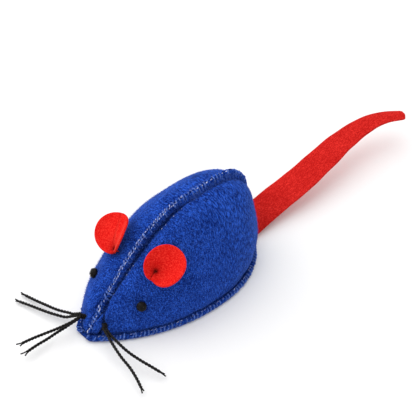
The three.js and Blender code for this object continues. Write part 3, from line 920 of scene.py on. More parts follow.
def felt_relief(points, shares, name):
    """How far the felt stands out of the plain flank, in millimetres."""
    side = side_of[name]
    from_base = run_along(points)
    from_ridge = from_base[:, -1:] - from_base
    inside = (1 - np.exp(-from_base / seam_reach)) * (1 - np.exp(-from_ridge / seam_reach))
    small_lumps = small_lump_height * bumps(points, small_lump_size, 9 + side)
    relief = inside * (lump_height * bumps(points, lump_size, 3 + side) + small_lumps)
    for length, gap in ((base_length, from_base), (ridge_length, from_ridge)):
        along = (shares * length)[:, None]
        line = np.stack([shares * length, 0 * shares, 0 * shares + length], -1)
        wave = bumps(line, seam_wave_size, 5 + side)[:, None]
        relief = relief - pucker * dips(along + 0 * gap) * np.exp(-gap / pucker_reach)
        relief = relief + seam_wave * wave * np.exp(-gap / seam_reach)
        lost = groove_fade * smooth_step((along / length - 0.4) / 0.2) * (length == ridge_length)
        relief = relief - groove_depth[length] * (1 - lost) * bell(gap, groove_width)
    for spots, depth, width in dimples:
        relief = relief - depth * bell(np.linalg.norm(points - spots[name][0], axis=-1), width)
    on_cheek = bell(shares - cheek_place, cheek_width)[:, None]
    cheek = on_cheek * (from_base * from_ridge) / (from_base[:, -1:] / 2) ** 2
    return relief + (cheek_swell * cheek if side < 0 else 0)


# %% The fold at each whisker knot
creases = {  # shares along and up the flank, from the strip past the knot to the lip
    "left": [(0.112, 0.99), (0.1, 0.906), (0.078, 0.856), (0.07, 0.689), (0.0671, 0.525), (0.07, 0.3825),
             (0.0563, 0.261), (0.045, 0.054)],
    "right": [(0.08, 0.98), (0.06, 0.8), (0.045, 0.47), (0.035, 0.2), (0.03, 0.04)],
}
crease_depth = {"left": 2.4, "right": 0.6}
crease_width = 0.62
snout = {"left": (0.036, 0.7), "right": (0.03, 0.7)}  # the pad of felt between the crease and the strip
snout_height = 0.9
snout_width = 3.4
snout_rows = 60  # rows of the flank, from the nose, that the fold can reach


def knot_crease(points, name):
    """The fold that a whisker knot pulls down from the ridge strip and up from the base."""
    side = side_of[name]
    route, _ = smooth_route([place_on(*spot, side)[0] for spot in creases[name]], 60)
    near = points[:snout_rows]
    gap = np.linalg.norm(near.reshape(-1, 1, 3) - route, axis=-1).min(axis=1).reshape(near.shape[:2])
    pad = np.linalg.norm(near - place_on(*snout[name], side)[0], axis=-1)
    relief = np.zeros(points.shape[:2])
    relief[:snout_rows] = snout_height * bell(pad, snout_width) - crease_depth[name] * bell(gap, crease_width)
    return relief


# %% The two flanks
flank_rows = 361
flank_steps = np.linspace(0, 1, 47)[1:]
flank_ups = flank_steps - 0.75 / (2 * np.pi) * np.sin(2 * np.pi * flank_steps)  # closer at the seams
tail_side = 3.2  # the middle of the tail is this far to the left
tail_root = 16.0
tail_lift = 1.25
lift_from = 37.5  # the felt is lifted over the tail behind this
lift_beside = 2.5  # and the lift fades over these distances, to the sides and upwards
lift_up = 9
rump_hollow = 1.8  # the left side of the rump is less full than the right
hollow_place = (0.79, 0.6)  # shares along and up
hollow_width = (0.13, 0.22)
head_brushed = 0.35  # how brushed the felt is on the head, where 1 is the rump


def over_the_tail(points):
    """How far the felt is lifted where the tail passes under it."""
    aside = abs(points[..., 0] - tail_side) - tail_root / 2 - seam_gap
    beside = smooth_step(1 - aside / lift_beside)
    behind = smooth_step((points[..., 1] - lift_from) / 3)
    low = (1 - (points[..., 2] - lip_top) / lift_up).clip(0, 1) ** 2
    return tail_lift * beside * behind * low


def outward(points, side):
    """The way out of a grid of points."""
    ahead = np.gradient(points, axis=0)
    upward = np.gradient(points, axis=1)
    return unit(np.cross(ahead, upward) * side)


skins = {}
for name, side in side_of.items():
    shares = np.linspace(0, 1, flank_rows)
    outer = flank(shares, flank_ups, outer_layer, side)
    inner = flank(shares, flank_ups, inner_layer, side)
    relief = felt_relief(outer, shares, name) + knot_crease(outer, name)
    shift = outward(outer, side) * relief[..., None]
    if side > 0:
        hollow = bell(shares - hollow_place[0], hollow_width[0])[:, None]
        hollow = hollow * bell(flank_ups - hollow_place[1], hollow_width[1])
        shift -= outward(outer, side) * (rump_hollow * hollow)[..., None]
    shift[..., 0] += strip_shift(shares, 0)[:, None] * flank_ups ** 3
    lip_upper, lip_lower = lip(shares, side)
    strip_outer, strip_inner = ridge_strip(shares, side)
    front = np.concatenate([lip_upper, outer + shift, strip_outer], axis=1)
    back = np.concatenate([lip_lower, inner + shift, strip_inner], axis=1)
    lift = over_the_tail(front)
    front[..., 2] += lift
    back[..., 2] += lift
    up_run = run_along(front)
    along_run = np.linspace(-60, 60, flank_rows)[:, None] + 0 * up_run
    brushed = head_brushed + (1 - head_brushed) * smooth_step((front[..., 1] + 12) / 40)
    painted_shade = [  # painted shade: some over the lip and most into its groove, in the hollows of the flank, some over the strip and most at its foot, less behind the crown
        0.25 + 0.4 * lip_in[None] ** 6,
        0.85 * smooth_step((-relief - 0.5) / 1.2),
        (0.3 + 0.6 * (1 - strip_up[None]) ** 4) * (1 - 0.8 * behind_crown(shares)[:, None]),
    ]
    drawn_and_painted_shade = np.concatenate([part + np.zeros((flank_rows, 1)) for part in painted_shade], axis=1)
    sheet = felt_sheet(front, back, np.stack([along_run, up_run, brushed, drawn_and_painted_shade], -1))
    panel = make_piece(f"side_panel_{name}_felt", sheet, blue_felt)
    belongs(panel, "body", f"side_panel_{name}")
    skins[name] = (front, brushed)

# %% [markdown]
# ## Base
# The base is a flat leaf of the same felt. Its rim is drawn up by the stitches, so the toy stands on the
# middle of the leaf. It is lofted from nose to rump, each row running from the left rim to the right.

# %% Base panel
rim_rise = 0.42
rim_drawn = 1.3  # how far in from the rim the stitches draw it up
under_bumps = 0.05
over_gap = 0.12  # the top of the base lies this far below the plain underside of the lip
middle_gap = 0.1  # and this much more in the middle
base_rows = 241
base_across = np.linspace(1, -1, 41)

shares = np.linspace(0, 1, base_rows)
foot, way, _ = on_seam(base_seam, outer_layer, shares)
rims = []
for side in (1, -1):
    reach = lip_reach(shares, side) - felt / 2
    rim = [side * (foot[:, 0] + reach * way[:, 1]), foot[:, 1] - reach * way[:, 0], 0 * reach]
    rims.append(np.stack(rim, -1))
eased = (0.5 + 0.5 * np.sin(np.pi / 2 * base_across))[None, :, None]
under = rims[0][:, None] * eased + rims[1][:, None] * (1 - eased)
rim_x = (rims[0] - rims[1])[:, 0] / 2
rim_y = (rims[0] + rims[1])[:, 1] / 2
rim_gap = rim_x[:, None] * (1 - abs(2 * eased[..., 0] - 1))
end_gap = np.minimum(rim_y - rim_y[0], rim_y[-1] - rim_y)[:, None]
drawn_and_painted_shade = np.exp(-np.minimum(rim_gap, end_gap) / rim_drawn)
over = under.copy()
under[..., 2] = rim_rise * drawn_and_painted_shade + under_bumps * (1 - drawn_and_painted_shade) * (1 + bumps(under, 4, 2))
over[..., 2] = lip_under - over_gap - middle_gap * (1 - drawn_and_painted_shade)
lay = np.stack([over[..., 0], over[..., 1], 0.3 + 0 * over[..., 0]], -1)
base_piece = make_piece("base_panel_felt", felt_sheet(over, under, lay), blue_felt)
belongs(base_piece, "body", "base_panel")

# %% [markdown]
# ## Overlock stitches
# A machine wraps thread over the edges of both seams and chains it along them. The stitches repeat along
# a path, which is what Geometry Nodes are for: a rail carries the way across and the way up of the seam,
# and the tree sets a loop of thread on it at each stitch. A wide loop wraps the edge, and a narrow slanted
# one is a dash of the paler thread that runs along it, with near-white glints painted on it.

# %% A geometry tree, its end and its result


def new_tree(name, sizes):
    """An empty tree with a named input for each size, and its input and output nodes."""
    tree = bpy.data.node_groups.new(name, "GeometryNodeTree")
    tree.interface.new_socket("Geometry", in_out="INPUT", socket_type="NodeSocketGeometry")
    tree.interface.new_socket("Geometry", in_out="OUTPUT", socket_type="NodeSocketGeometry")
    for size, value in sizes.items():
        kind = "NodeSocketInt" if isinstance(value, int) else "NodeSocketFloat"
        socket = tree.interface.new_socket(size, in_out="INPUT", socket_type=kind)
        socket.default_value = value
    return tree, tree.nodes.new("NodeGroupInput").outputs, tree.nodes.new("NodeGroupOutput")


def end_tree(tree, result, instances, material, smooth=False):
    """Makes the instances real, gives them their material and hands them to the tree's output."""
    real = add_node(tree, "GeometryNodeRealizeInstances", {"Geometry": instances})
    if smooth:
        real = add_node(tree, "GeometryNodeSetShadeSmooth", {"Geometry": real.outputs["Geometry"]})
    coloured = add_node(tree, "GeometryNodeSetMaterial", {
        "Geometry": real.outputs["Geometry"], "Material": material})
    set_inputs(tree, result, {"Geometry": coloured.outputs["Geometry"]})


def keep_result(obj):
    """Keeps what an object's modifiers make as its plain mesh."""
    result = bpy.data.meshes.new_from_object(obj.evaluated_get(bpy.context.evaluated_depsgraph_get()))
    obj.modifiers.clear()
    obj.data = result
    print(f"{obj.name}: {sum(len(p.vertices) - 2 for p in result.polygons)} triangles")


def grow(obj, tree, sizes):
    """Runs a tree on an object, with some of its sizes set."""
    modifier = obj.modifiers.new(tree.name, "NODES")
    modifier.node_group = tree
    for socket in tree.interface.items_tree:
        if socket.name in sizes:
            modifier[socket.identifier] = sizes[socket.name]
    keep_result(obj)
    return obj


# %% Nodes that the trees share


def vector_maths(tree, operation, first, second):
    """The result of one sum on vectors, or on a vector and its scale."""
    key = "Scale" if operation == "SCALE" else 1
    return add_node(tree, "ShaderNodeVectorMath", {0: first, key: second}, operation=operation).outputs[0]


def carried_way(tree, name):
    """A direction that the points carry."""
    return add_node(tree, "GeometryNodeInputNamedAttribute", {
        "Name": name}, data_type="FLOAT_VECTOR").outputs["Attribute"]


def turned_to(tree, upright, secondary, secondary_axis):
    """A rotation that sets Z upright and another axis as near as it can to a second direction."""
    return add_node(tree, "FunctionNodeAxesToRotation", {
        "Primary Axis": upright, "Secondary Axis": secondary},
        primary_axis="Z", secondary_axis=secondary_axis).outputs["Rotation"]


def random_number(tree, low, high, seed):
    """A number between two, another for each point."""
    return add_node(tree, "FunctionNodeRandomValue", {
        2: low, 3: high, "Seed": seed}, data_type="FLOAT").outputs[1]


# %% Tree for loops over an edge
loop_sizes = {
    "Stitch Spacing": 2.4 * MM, "Thread Diameter": 0.5 * MM, "Half Width": 1.2 * MM, "Reach": 1.8 * MM,
    "Rise": 1.0 * MM, "Slant": 1.0 * MM, "Unevenness": 0.12, "Left Out": 0.0, "Askew": 0.06, "Seed": 4}
loop_swell = 1.12  # a loop bows out to this share of its half width
across_the_seam = (-1, -1, 1)


def edge_loop_tree(material):
    """A tree that sets loops of thread on a rail, each from one side of the seam over to the other."""
    tree, given, result = new_tree("edge_loops", loop_sizes)
    rail = add_node(tree, "GeometryNodeMeshToCurve", {"Mesh": given["Geometry"]})
    holes = add_node(tree, "GeometryNodeResampleCurve", {
        "Curve": rail.outputs["Curve"], "Length": given["Stitch Spacing"]}, mode="LENGTH")
    lean = maths(tree, "MULTIPLY", given["Slant"], 0.5)
    drop = maths(tree, "MULTIPLY", given["Reach"], -1.0)
    wide = maths(tree, "MULTIPLY", given["Half Width"], loop_swell)
    near_foot = add_node(tree, "ShaderNodeCombineXYZ", {
        "X": lean, "Y": given["Half Width"], "Z": drop}).outputs[0]
    near_bend = add_node(tree, "ShaderNodeCombineXYZ", {"X": lean, "Y": wide, "Z": given["Rise"]}).outputs[0]
    arch = add_node(tree, "GeometryNodeCurvePrimitiveBezierSegment", {
        "Resolution": 7, "Start": near_foot, "Start Handle": near_bend,
        "End Handle": vector_maths(tree, "MULTIPLY", near_bend, across_the_seam),
        "End": vector_maths(tree, "MULTIPLY", near_foot, across_the_seam)})
    section = add_node(tree, "GeometryNodeCurvePrimitiveCircle", {
        "Resolution": 6, "Radius": maths(tree, "MULTIPLY", given["Thread Diameter"], 0.5)})
    loop = add_node(tree, "GeometryNodeCurveToMesh", {
        "Curve": arch.outputs["Curve"], "Profile Curve": section.outputs["Curve"], "Fill Caps": True})
    least = maths(tree, "SUBTRACT", 1.0, given["Unevenness"])
    chosen = add_node(tree, "FunctionNodeRandomValue", {
        "Probability": maths(tree, "SUBTRACT", 1.0, given["Left Out"]), "Seed": given["Seed"]},
        data_type="BOOLEAN")
    set_down = add_node(tree, "GeometryNodeInstanceOnPoints", {
        "Points": holes.outputs["Curve"], "Selection": chosen.outputs[3], "Instance": loop.outputs["Mesh"],
        "Rotation": turned_to(tree, carried_way(tree, "up"), carried_way(tree, "across"), "Y"),
        "Scale": random_number(tree, least, 1.0, given["Seed"])})
    other_way = maths(tree, "MULTIPLY", given["Askew"], -1.0)
    about_up = add_node(tree, "ShaderNodeCombineXYZ", {
        "Z": random_number(tree, other_way, given["Askew"], given["Seed"])})
    askew = add_node(tree, "GeometryNodeRotateInstances", {
        "Instances": set_down.outputs["Instances"], "Rotation": about_up.outputs[0], "Local Space": True})
    end_tree(tree, result, askew.outputs["Instances"], material, smooth=True)
    return tree


loops_in_blue = edge_loop_tree(blue_thread)
loops_in_pale = edge_loop_tree(pale_thread_with_painted_glints)
print("loop sizes:", list(loop_sizes))

# %% A rail for stitches


def rail_of(name, lines):
    """An edge path for each line of points, with the directions across and up at each point."""
    mesh = bpy.data.meshes.new(name)
    points, edges = [], []
    for line in lines:
        edges += [(len(points) + i, len(points) + i + 1) for i in range(len(line[0]) - 1)]
        points += (line[0] * MM).tolist()
    mesh.from_pydata(points, edges, [])
    for k, key in ((1, "across"), (2, "up")):
        add_attribute(mesh, key, np.concatenate([line[k] for line in lines]))
    return put_in_scene(name, mesh)


def same_way(way, count):
    """One direction for each of so many points."""
    return np.tile(np.array(way, float), (count, 1))


# %% Rails on the ridge
ridge_points = 500
dash_drop = 0.25  # a line beside the top of the strip lies lower by this share of its distance
needle_depth = 0.35
needle_up = [0.96, 0.972, 0.984]  # shares up the flank, with the needle's in the middle


def ridge_rail(name, first, last, aside):
    """A line along the top of the strip, from one share of the ridge to another, aside from its middle."""
    shares = np.linspace(first, last, ridge_points)
    foot, way, _ = on_seam(ridge_seam, outer_layer, shares)
    up = up_from_ridge(way)
    rise = strip_height(shares) - dash_drop * abs(aside)
    line = foot + rise[:, None] * up - nose_fall(shares)[:, None] * way
    line[:, 0] = aside
    line = settled(line, 1)
    line[:, 0] += strip_shift(shares, rise)
    return rail_of(name, [(line, same_way((1, 0, 0), ridge_points), up)])


def groove_rail(name):
    """A line on the left flank close to the groove beside the strip, where the needle went in."""
    shares = np.linspace(0.12, 0.62, ridge_points)
    near = flank(shares, needle_up, outer_layer, 1)
    out = outward(near, 1)[:, 1]
    return rail_of(name, [(near[:, 1] - needle_depth * out, unit(near[:, 2] - near[:, 0]), out)])


# %% Rails round the base
lip_points = 600
edge_rise = 0.3  # the wraps sit this much above the middle of the lip's edge
clear_of_tail = 1.6
tail_from = 30  # the tail crosses the lip behind this


def lip_lines(first, last, share_out, level):
    """A line along each side of the lip, at a share of the way out of the groove, and the way out."""
    shares = np.linspace(first, last, lip_points)
    foot, way, _ = on_seam(base_seam, outer_layer, shares)
    for side in (1, -1):
        out = out_of_base(way)
        line = settled(foot + share_out * lip_reach(shares, side)[:, None] * out, side)
        line[:, 2] = level
        out[:, 0] *= side
        yield line, out


def base_rail(name):
    """The outer edge of the lip on both sides, broken where the tail comes out."""
    lines = []
    level = (lip_top + rim_rise) / 2 + edge_rise
    for line, out in lip_lines(first=0.004, last=0.999, share_out=1.0, level=level):
        clear = (abs(line[:, 0] - tail_side) > tail_root / 2 + clear_of_tail) | (line[:, 1] < tail_from)
        lines.append((line[clear], same_way((0, 0, 1), clear.sum()), out[clear]))
    return rail_of(name, lines)


def lip_rail(name):
    """A line on top of the lip, both sides, nearer to the groove than to the edge."""
    lines = lip_lines(first=0.006, last=0.93, share_out=0.42, level=lip_top + 0.05)
    return rail_of(name, [(line, out, same_way((0, 0, 1), lip_points)) for line, out in lines])


# %% Stitches on the ridge and round the base
dash = {
    "Thread Diameter": 0.48 * MM, "Half Width": 0.2 * MM, "Reach": 0.25 * MM, "Rise": 0.35 * MM,
    "Slant": 1.1 * MM, "Unevenness": 0.45, "Askew": 0.5}
fine_dash = {**dash, "Thread Diameter": 0.34 * MM}
wrap = {
    "Thread Diameter": 0.82 * MM, "Half Width": 1.35 * MM, "Reach": 1.8 * MM, "Rise": 0.7 * MM,
    "Slant": 1.8 * MM, "Unevenness": 0.3, "Askew": 0.6}
lip_wrap = {
    "Thread Diameter": 0.78 * MM, "Half Width": 1.0 * MM, "Reach": 1.7 * MM, "Rise": 0.6 * MM,
    "Slant": 1.6 * MM, "Unevenness": 0.25, "Askew": 0.5}
stitches = {
    "ridge_overlock": [
        (ridge_rail("ridge_wraps", stitch / ridge_length, 0.5, 0.0), loops_in_blue, {
            **wrap, "Stitch Spacing": 1.8 * MM, "Left Out": 0.15}),
        (ridge_rail("ridge_rear_wraps", 0.51, 0.99, 0.0), loops_in_blue, {
            **wrap, "Stitch Spacing": 1.9 * MM, "Thread Diameter": 0.66 * MM, "Left Out": 0.3, "Seed": 11}),
        (ridge_rail("ridge_near_dashes", 0.004, 0.48, 0.5), loops_in_pale, {
            **dash, "Stitch Spacing": 1.25 * MM, "Left Out": 0.3}),
        (ridge_rail("ridge_far_dashes", 0.06, 0.5, -0.55), loops_in_pale, {
            **dash, "Stitch Spacing": 1.4 * MM, "Left Out": 0.45, "Seed": 9}),
        (ridge_rail("ridge_rump_dashes", 0.52, 0.97, 0.3), loops_in_pale, {
            **dash, "Stitch Spacing": 1.4 * MM, "Left Out": 0.9, "Seed": 15}),
        (groove_rail("ridge_foot_dashes"), loops_in_pale, {
            **fine_dash, "Stitch Spacing": 2.4 * MM, "Slant": 0.8 * MM, "Left Out": 0.45, "Seed": 2}),
    ],
    "base_overlock": [
        (base_rail("base_wraps"), loops_in_blue, {
            **lip_wrap, "Stitch Spacing": 1.8 * MM, "Left Out": 0.12, "Seed": 7}),
        (lip_rail("lip_dashes"), loops_in_pale, {
            **fine_dash, "Stitch Spacing": 1.5 * MM, "Left Out": 0.4, "Seed": 5}),
    ],
}
for node, rows in stitches.items():
    for rail, tree, sizes in rows:
        belongs(grow(rail, tree, sizes), "body", node)

# %% [markdown]
# ## Nap
# Loose wool stands off the felt, a millimetre or so long, and gives the toy its soft outline. It is laid
# back along the rump, where hands have stroked it, and stands at random on the head. Points scattered on
# the flank carry thin three-sided fibres, each turned to a mix of the way out, the brushing and chance.
# Behind the crown, longer fuzz is brushed over the strip and half hides its stitches.

# %% Tree for fibres on a surface
nap_sizes = {
    "Fibres": 5.0, "Fibre Length": 1.1 * MM, "Fibre Thickness": 0.08 * MM, "Stand": 0.5, "Stray": 0.7,
    "Seed": 3}
shortest_fibre = 0.45  # as a share of the longest


def scattered(tree, given, amount):
    """Points on the faces, so many to a square millimetre."""
    return add_node(tree, "GeometryNodeDistributePointsOnFaces", {
        "Mesh": given["Geometry"], "Density": maths(tree, "MULTIPLY", given[amount], 1e6),
        "Seed": given["Seed"]}).outputs


def random_way(tree, seed):
    """A vector with three parts between -1 and 1, another for each point."""
    return add_node(tree, "FunctionNodeRandomValue", {
        0: (-1, -1, -1), 1: (1, 1, 1), "Seed": seed}, data_type="FLOAT_VECTOR").outputs[0]


def fibre_tree(material):
    """A tree that scatters fibres over a surface and brushes them."""
    tree, given, result = new_tree("wool_fibres", nap_sizes)
    spots = scattered(tree, given, "Fibres")
    chance = random_way(tree, given["Seed"])
    stand = vector_maths(tree, "SCALE", spots["Normal"], given["Stand"])
    laid = vector_maths(tree, "ADD", stand, carried_way(tree, "brush"))
    way = vector_maths(tree, "ADD", laid, vector_maths(tree, "SCALE", chance, given["Stray"]))
    fibre = add_node(tree, "GeometryNodeMeshCone", {
        "Vertices": 3, "Radius Top": 0.0, "Depth": given["Fibre Length"],
        "Radius Bottom": maths(tree, "MULTIPLY", given["Fibre Thickness"], 0.5)}, fill_type="NGON")
    grown = add_node(tree, "GeometryNodeInstanceOnPoints", {
        "Points": spots["Points"], "Instance": fibre.outputs["Mesh"],
        "Rotation": turned_to(tree, way, chance, "X"),
        "Scale": random_number(tree, shortest_fibre, 1.0, given["Seed"])})
    end_tree(tree, result, grown.outputs["Instances"], material)
    return tree


# %% Nap of the flanks
# The loose fibre is the felt's own wool, painted lighter for the light that stray fibre catches.
blue_nap_painted_lighter = wool_felt("loose_blue_wool_painted_lighter", "#030b26", "#173690", "#5f8aea", "#9dbcff")
fibres = fibre_tree(blue_nap_painted_lighter)

sewn_bare = 4.2  # no fibre stands closer than this to the stitch of an ear
brushed_back = 0.5
brushed_down = 0.35
brush_strength = 1.2
nap_patches = {  # the first row and column of the felt that each covers, and its own sizes
    "nap": (0, 0, {}),
    "ridge_fuzz": (185, -13, {"Fibres": 16.0, "Fibre Length": 2.4 * MM, "Stand": 0.2, "Stray": 0.45}),
}


def nap_ground(name, front, brushed, sewn, side):
    """The surface that fibres stand on, with the way that each place is brushed."""
    rows, columns = brushed.shape
    index = np.arange(rows * columns).reshape(rows, columns)
    corners = [index[:-1, :-1], index[1:, :-1], index[1:, 1:], index[:-1, 1:]]
    quads = np.stack(corners[::side], -1).reshape(-1, 4)
    quad_middles = front.reshape(-1, 3)[quads].mean(axis=1)
    quads = quads[np.linalg.norm(quad_middles - sewn, axis=1) > sewn_bare]
    ground = bpy.data.meshes.new(name)
    ground.from_pydata((front.reshape(-1, 3) * MM).tolist(), [], quads.tolist())
    swept = unit(np.gradient(front, axis=0) * brushed_back - np.gradient(front, axis=1) * brushed_down)
    add_attribute(ground, "brush", swept * brushed[..., None] * brush_strength)
    return put_in_scene(name, ground)


for patch, (first_row, first_column, sizes) in nap_patches.items():
    for name, side in side_of.items():
        front, brushed = (part[first_row:, first_column:] for part in skins[name])
        nap = nap_ground(f"side_panel_{name}_{patch}", front, brushed, ears[name][0], side)
        grow(nap, fibres, {**sizes, "Seed": 3 + side})
        belongs(nap, "body", f"side_panel_{name}")

# %% [markdown]
# ## Ears
# Each ear is a disc of red felt, pinched near its rim and sewn down at the pinch, so that it cups. The
# felt laps over itself from the pinch to the rim. The disc is a fan of spokes round the sewn point: the
# first and last spokes overlap, one above the other, and the cup is deepest where the thread holds it.

# %% Forms of the two ears
ear_diameter = 18.3
# reach: from the sewn point to the middle of the disc. facing: the way that the cup faces.
# middle: of the disc, ahead and aside of the sewn point. depth: of the funnel that the thread draws in.
# slit: the way to the lapped edges, in radians. over: which of them is on top, and by how many felts.
# held, notch: how far the thread holds the rim down at the slit and draws it in. The next entry is the
# painted shade along the slit.
# curl: the radius to which the disc is curled, about a line at the angle turn. fold: of a crease across it.
ear_forms = {
    "left": {
        "reach": (0.577, 0.653, 0.465), "facing": (0.42, -0.55, 0.72), "middle": (4.7, 0.4), "depth": 4.2,
        "slit": -2.2, "over": -1.2, "held": 0.0, "notch": 0.9, "painted_shade": 0.75, "curl": 12.0, "turn": 0.4,
        "fold": 0.0, "seed": 20},
    "right": {
        "reach": (-0.577, 0.653, 0.465), "facing": (-0.15, -0.66, 0.74), "middle": (6.7, 0.15), "depth": 2.4,
        "slit": 3.0, "over": 0.3, "held": 0.45, "notch": 0.35, "painted_shade": 0.3, "curl": 10.0, "turn": 0.45,
        "fold": 0.36, "seed": 25},
}


def ear_axes(name):
    """The ways ahead, across and out of an ear's disc."""
    form = ear_forms[name]
    reach, facing = unit(np.array(form["reach"])), unit(np.array(form["facing"]))
    reach = unit(reach - facing * (facing @ reach))
    return reach, np.cross(facing, reach) * side_of[name], facing


# %% Felt of an ear
ear_spokes = 141
ear_rings = np.linspace(0.03, 1, 30)
ear_lap = 0.22  # radians that each end of the fan reaches past the other
lap_width = 0.9  # radians over which the lapped ends part
notch_width = 0.45  # radians of the rim that the thread draws in
held_width = 0.8  # radians of the rim that it holds down
ear_lumps = 0.16


def ear_disc(form):
    """The felt of an ear as ahead, across and lift, and how much shade is painted on it."""
    radius = ear_diameter / 2 - felt / 2
    share = ear_rings[None]
    from_slit = np.linspace(-ear_lap, 2 * np.pi + ear_lap, ear_spokes)[:, None]
    to_slit = 2 * np.pi - from_slit
    from_notch = np.minimum(abs(from_slit), abs(to_slit))
    turn = form["slit"] + from_slit
    ahead, beside = form["middle"]
    edge = (ahead * np.cos(turn) + beside * np.sin(turn)
            + np.sqrt(radius ** 2 - (ahead * np.sin(turn) - beside * np.cos(turn)) ** 2))
    edge = edge - form["notch"] * bell(from_notch, notch_width)
    away = share * edge
    x, y = away * np.cos(turn), away * np.sin(turn)
    funnel = 1.2 + 0.1 * edge
    lift = form["depth"] * (1 - np.exp(-away / funnel)) * (1 - form["held"] * bell(from_notch, held_width))
    ends = smooth_step(1 - from_slit / lap_width) - smooth_step(1 - to_slit / lap_width)
    lift = lift - felt * form["over"] * ends * (0.3 + 0.7 * share)
    lift = lift + ear_lumps * bumps(np.stack([x, y, 0 * x], -1), 5, form["seed"]) * share
    under = from_slit - ear_lap if form["over"] > 0 else 2 * np.pi - ear_lap - from_slit
    # Painted shade: dark in the pit of the funnel and along the slit.
    drawn_and_painted_shade = 0.8 * bell(away, 1.2) + 0.25 * bell(away, 4.5)
    drawn_and_painted_shade = drawn_and_painted_shade + form["painted_shade"] * bell(under * away, 0.55)
    folded = y - 0.33 * x
    crease = bell(folded - 0.2, 1.1) - 0.6 * bell(folded + 1.6, 1.2)
    lift = lift + form["fold"] * crease * smooth_step(away / 4)
    # Painted shade in the valley beside the fold.
    drawn_and_painted_shade = drawn_and_painted_shade + 0.5 * form["fold"] * bell(folded + 1.3, 0.9) * smooth_step(away / 4)
    c, s = np.cos(form["turn"]), np.sin(form["turn"])
    along, aside = c * x + s * y, c * y - s * x
    curl = form["curl"]
    line = c * beside - s * ahead
    lift = lift + curl * (np.cos(line / curl) - np.cos((aside - line) / curl))
    aside = curl * (np.sin((aside - line) / curl) + np.sin(line / curl))
    return c * along - s * aside, s * along + c * aside, lift, drawn_and_painted_shade.clip(0, 1)


# %% Ears
for name, (spot, out) in ears.items():
    reach, across, facing = ear_axes(name)
    sewn = spot + out * (seam_gap + felt / 2 / (out @ facing))
    x, y, lift, drawn_and_painted_shade = ear_disc(ear_forms[name])
    middle = sewn + x[..., None] * reach + y[..., None] * across + lift[..., None] * facing
    thick = outward(middle, -1)
    lay = np.stack([x, y, 0.15 + 0 * lift, drawn_and_painted_shade], -1)
    sheet = felt_sheet(middle + thick * felt / 2, middle - thick * felt / 2, lay)
    ear = make_piece(f"ear_{name}_felt", sheet, ear_felt_painted_lit)
    belongs(ear, f"ear_{name}", f"ear_{name}")
    cut = ear_diameter * MM

# %% Ear stitches
tack_thread = 0.56
tack_turn = 1.6
tack_depth = 4.0
tack_rise = {"left": 1.4, "right": 0.9}
tack_strands = {"left": (-0.5, 0.5), "right": (-1.3, -0.5)}  # across from the sewn point, under the felt

for name, (spot, out) in ears.items():
    reach, across, facing = ear_axes(name)
    down = spot - out * tack_depth
    over = spot + out * tack_rise[name]
    strands = []
    for way in tack_strands[name]:
        route = [down + across * 0.3 * way, spot + across * way, over + across * way * 0.8,
                 over + reach * 0.2]
        strands.append(thread_along(smooth_route(route, 30)[0], tack_thread, tack_turn, 10))
    tack = make_piece(f"ear_tack_{name}_stitch", joined(strands), red_thread)
    belongs(tack, "body", f"ear_tack_{name}")

# %% [markdown]
# ## Tail
# The tail is one strip of red felt whose root is caught between the base and the flanks. It curls up off
# the table and narrows to a blunt tip. One lofted strip runs from inside the seam to the tip.

# %% Route of the tail
tail_tab = 5.0
tail_hinge_out = 1.5
tab_short = 0.55  # the straight tab ends this far before the fold
tab_rows = 20
free_rows = 190
tail_fold = np.array([tail_side, rump_end + lip_width + tail_hinge_out, lip_under + felt / 2])
tail_route = [(0, 0, 0), (0.7, 17, 4.2), (2, 33, 7.7), (2, 49, 10.5), (1.4, 65, 12.6), (2.2, 81, 13.9),
              (5.3, 92.4, 14.2), (11.2, 101.3, 14)]

free_path, free_length = smooth_route(np.array(tail_route) + tail_fold, free_rows)
tab_start = rump_end - wall_inset - tail_tab
tab_path = np.stack([np.full(tab_rows, tail_side), np.linspace(tab_start, tail_fold[1] - tab_short, tab_rows),
                     np.full(tab_rows, tail_fold[2])], -1)
tail_path = np.concatenate([tab_path, free_path])
for _ in range(12):  # the strip leaves the tab in a bend, not at a corner
    tail_path[15:30] = (tail_path[14:29] + tail_path[16:31] + 2 * tail_path[15:30]) / 4
print(f"tail: free length {free_length:.1f} mm")

# %% Tail
tail_tip = 6.3
tail_taper = 2.55
tip_corner = 1.8
root_painted_shade = 0.16  # painted shade: the felt is a little darker near the root, where the body shades it
root_share = 0.35
edge_wander = 0.22
tail_ripple = 0.3
edge_fall = 0.5  # the two edges hang below the middle

run = np.concatenate([np.zeros(tab_rows), np.linspace(0, 1, free_rows)])
to_tip = run_along(tail_path)
to_tip = to_tip[-1] - to_tip
ahead = unit(np.gradient(tail_path, axis=0))
across = unit(np.cross(ahead, [0, 0, 1]))
above = np.cross(across, ahead)
half = (tail_tip + (tail_root - tail_tip) * (1 - run ** tail_taper)) / 2 - felt / 2
cut_off = (tip_corner - to_tip).clip(0)
half = half - (tip_corner - np.sqrt((tip_corner ** 2 - cut_off ** 2).clip(0)))
spread = np.linspace(-1, 1, 17)
beside = half[:, None] * spread
wander = edge_wander * bumps(np.stack([to_tip, 0 * to_tip, 0 * to_tip], -1), 9, 31) * smooth_step(run * 8)
middle = tail_path[:, None] + across[:, None] * (beside + wander[:, None])[..., None]
ripple = tail_ripple * bumps(middle, 14, 40) * smooth_step(run * 6)[:, None]
curl = -edge_fall * (abs(spread) ** 2)[None] * smooth_step(run * 4)[:, None]
middle = middle + above[:, None] * (ripple + curl)[..., None]
thick = felt / 2 * rounded_end(to_tip, 0.6, 0.3)[:, None, None] * above[:, None]
painted_shade = root_painted_shade * (1 - smooth_step(run / root_share))
lay = np.stack([beside, to_tip[:, None] + 0 * spread, 0.35 + 0 * beside, painted_shade[:, None] + 0 * spread], -1)
tail = make_piece("tail_strip_felt", felt_sheet(middle + thick, middle - thick, lay), tail_felt_painted_shaded)
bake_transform(tail)
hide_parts("tail_tab", "tail")

# %% Tail stitches
tack_points = 60
tack_margin = 0.5
tack_behind = 0.9  # the row of stitches is this far behind the groove
tack_above = 0.18

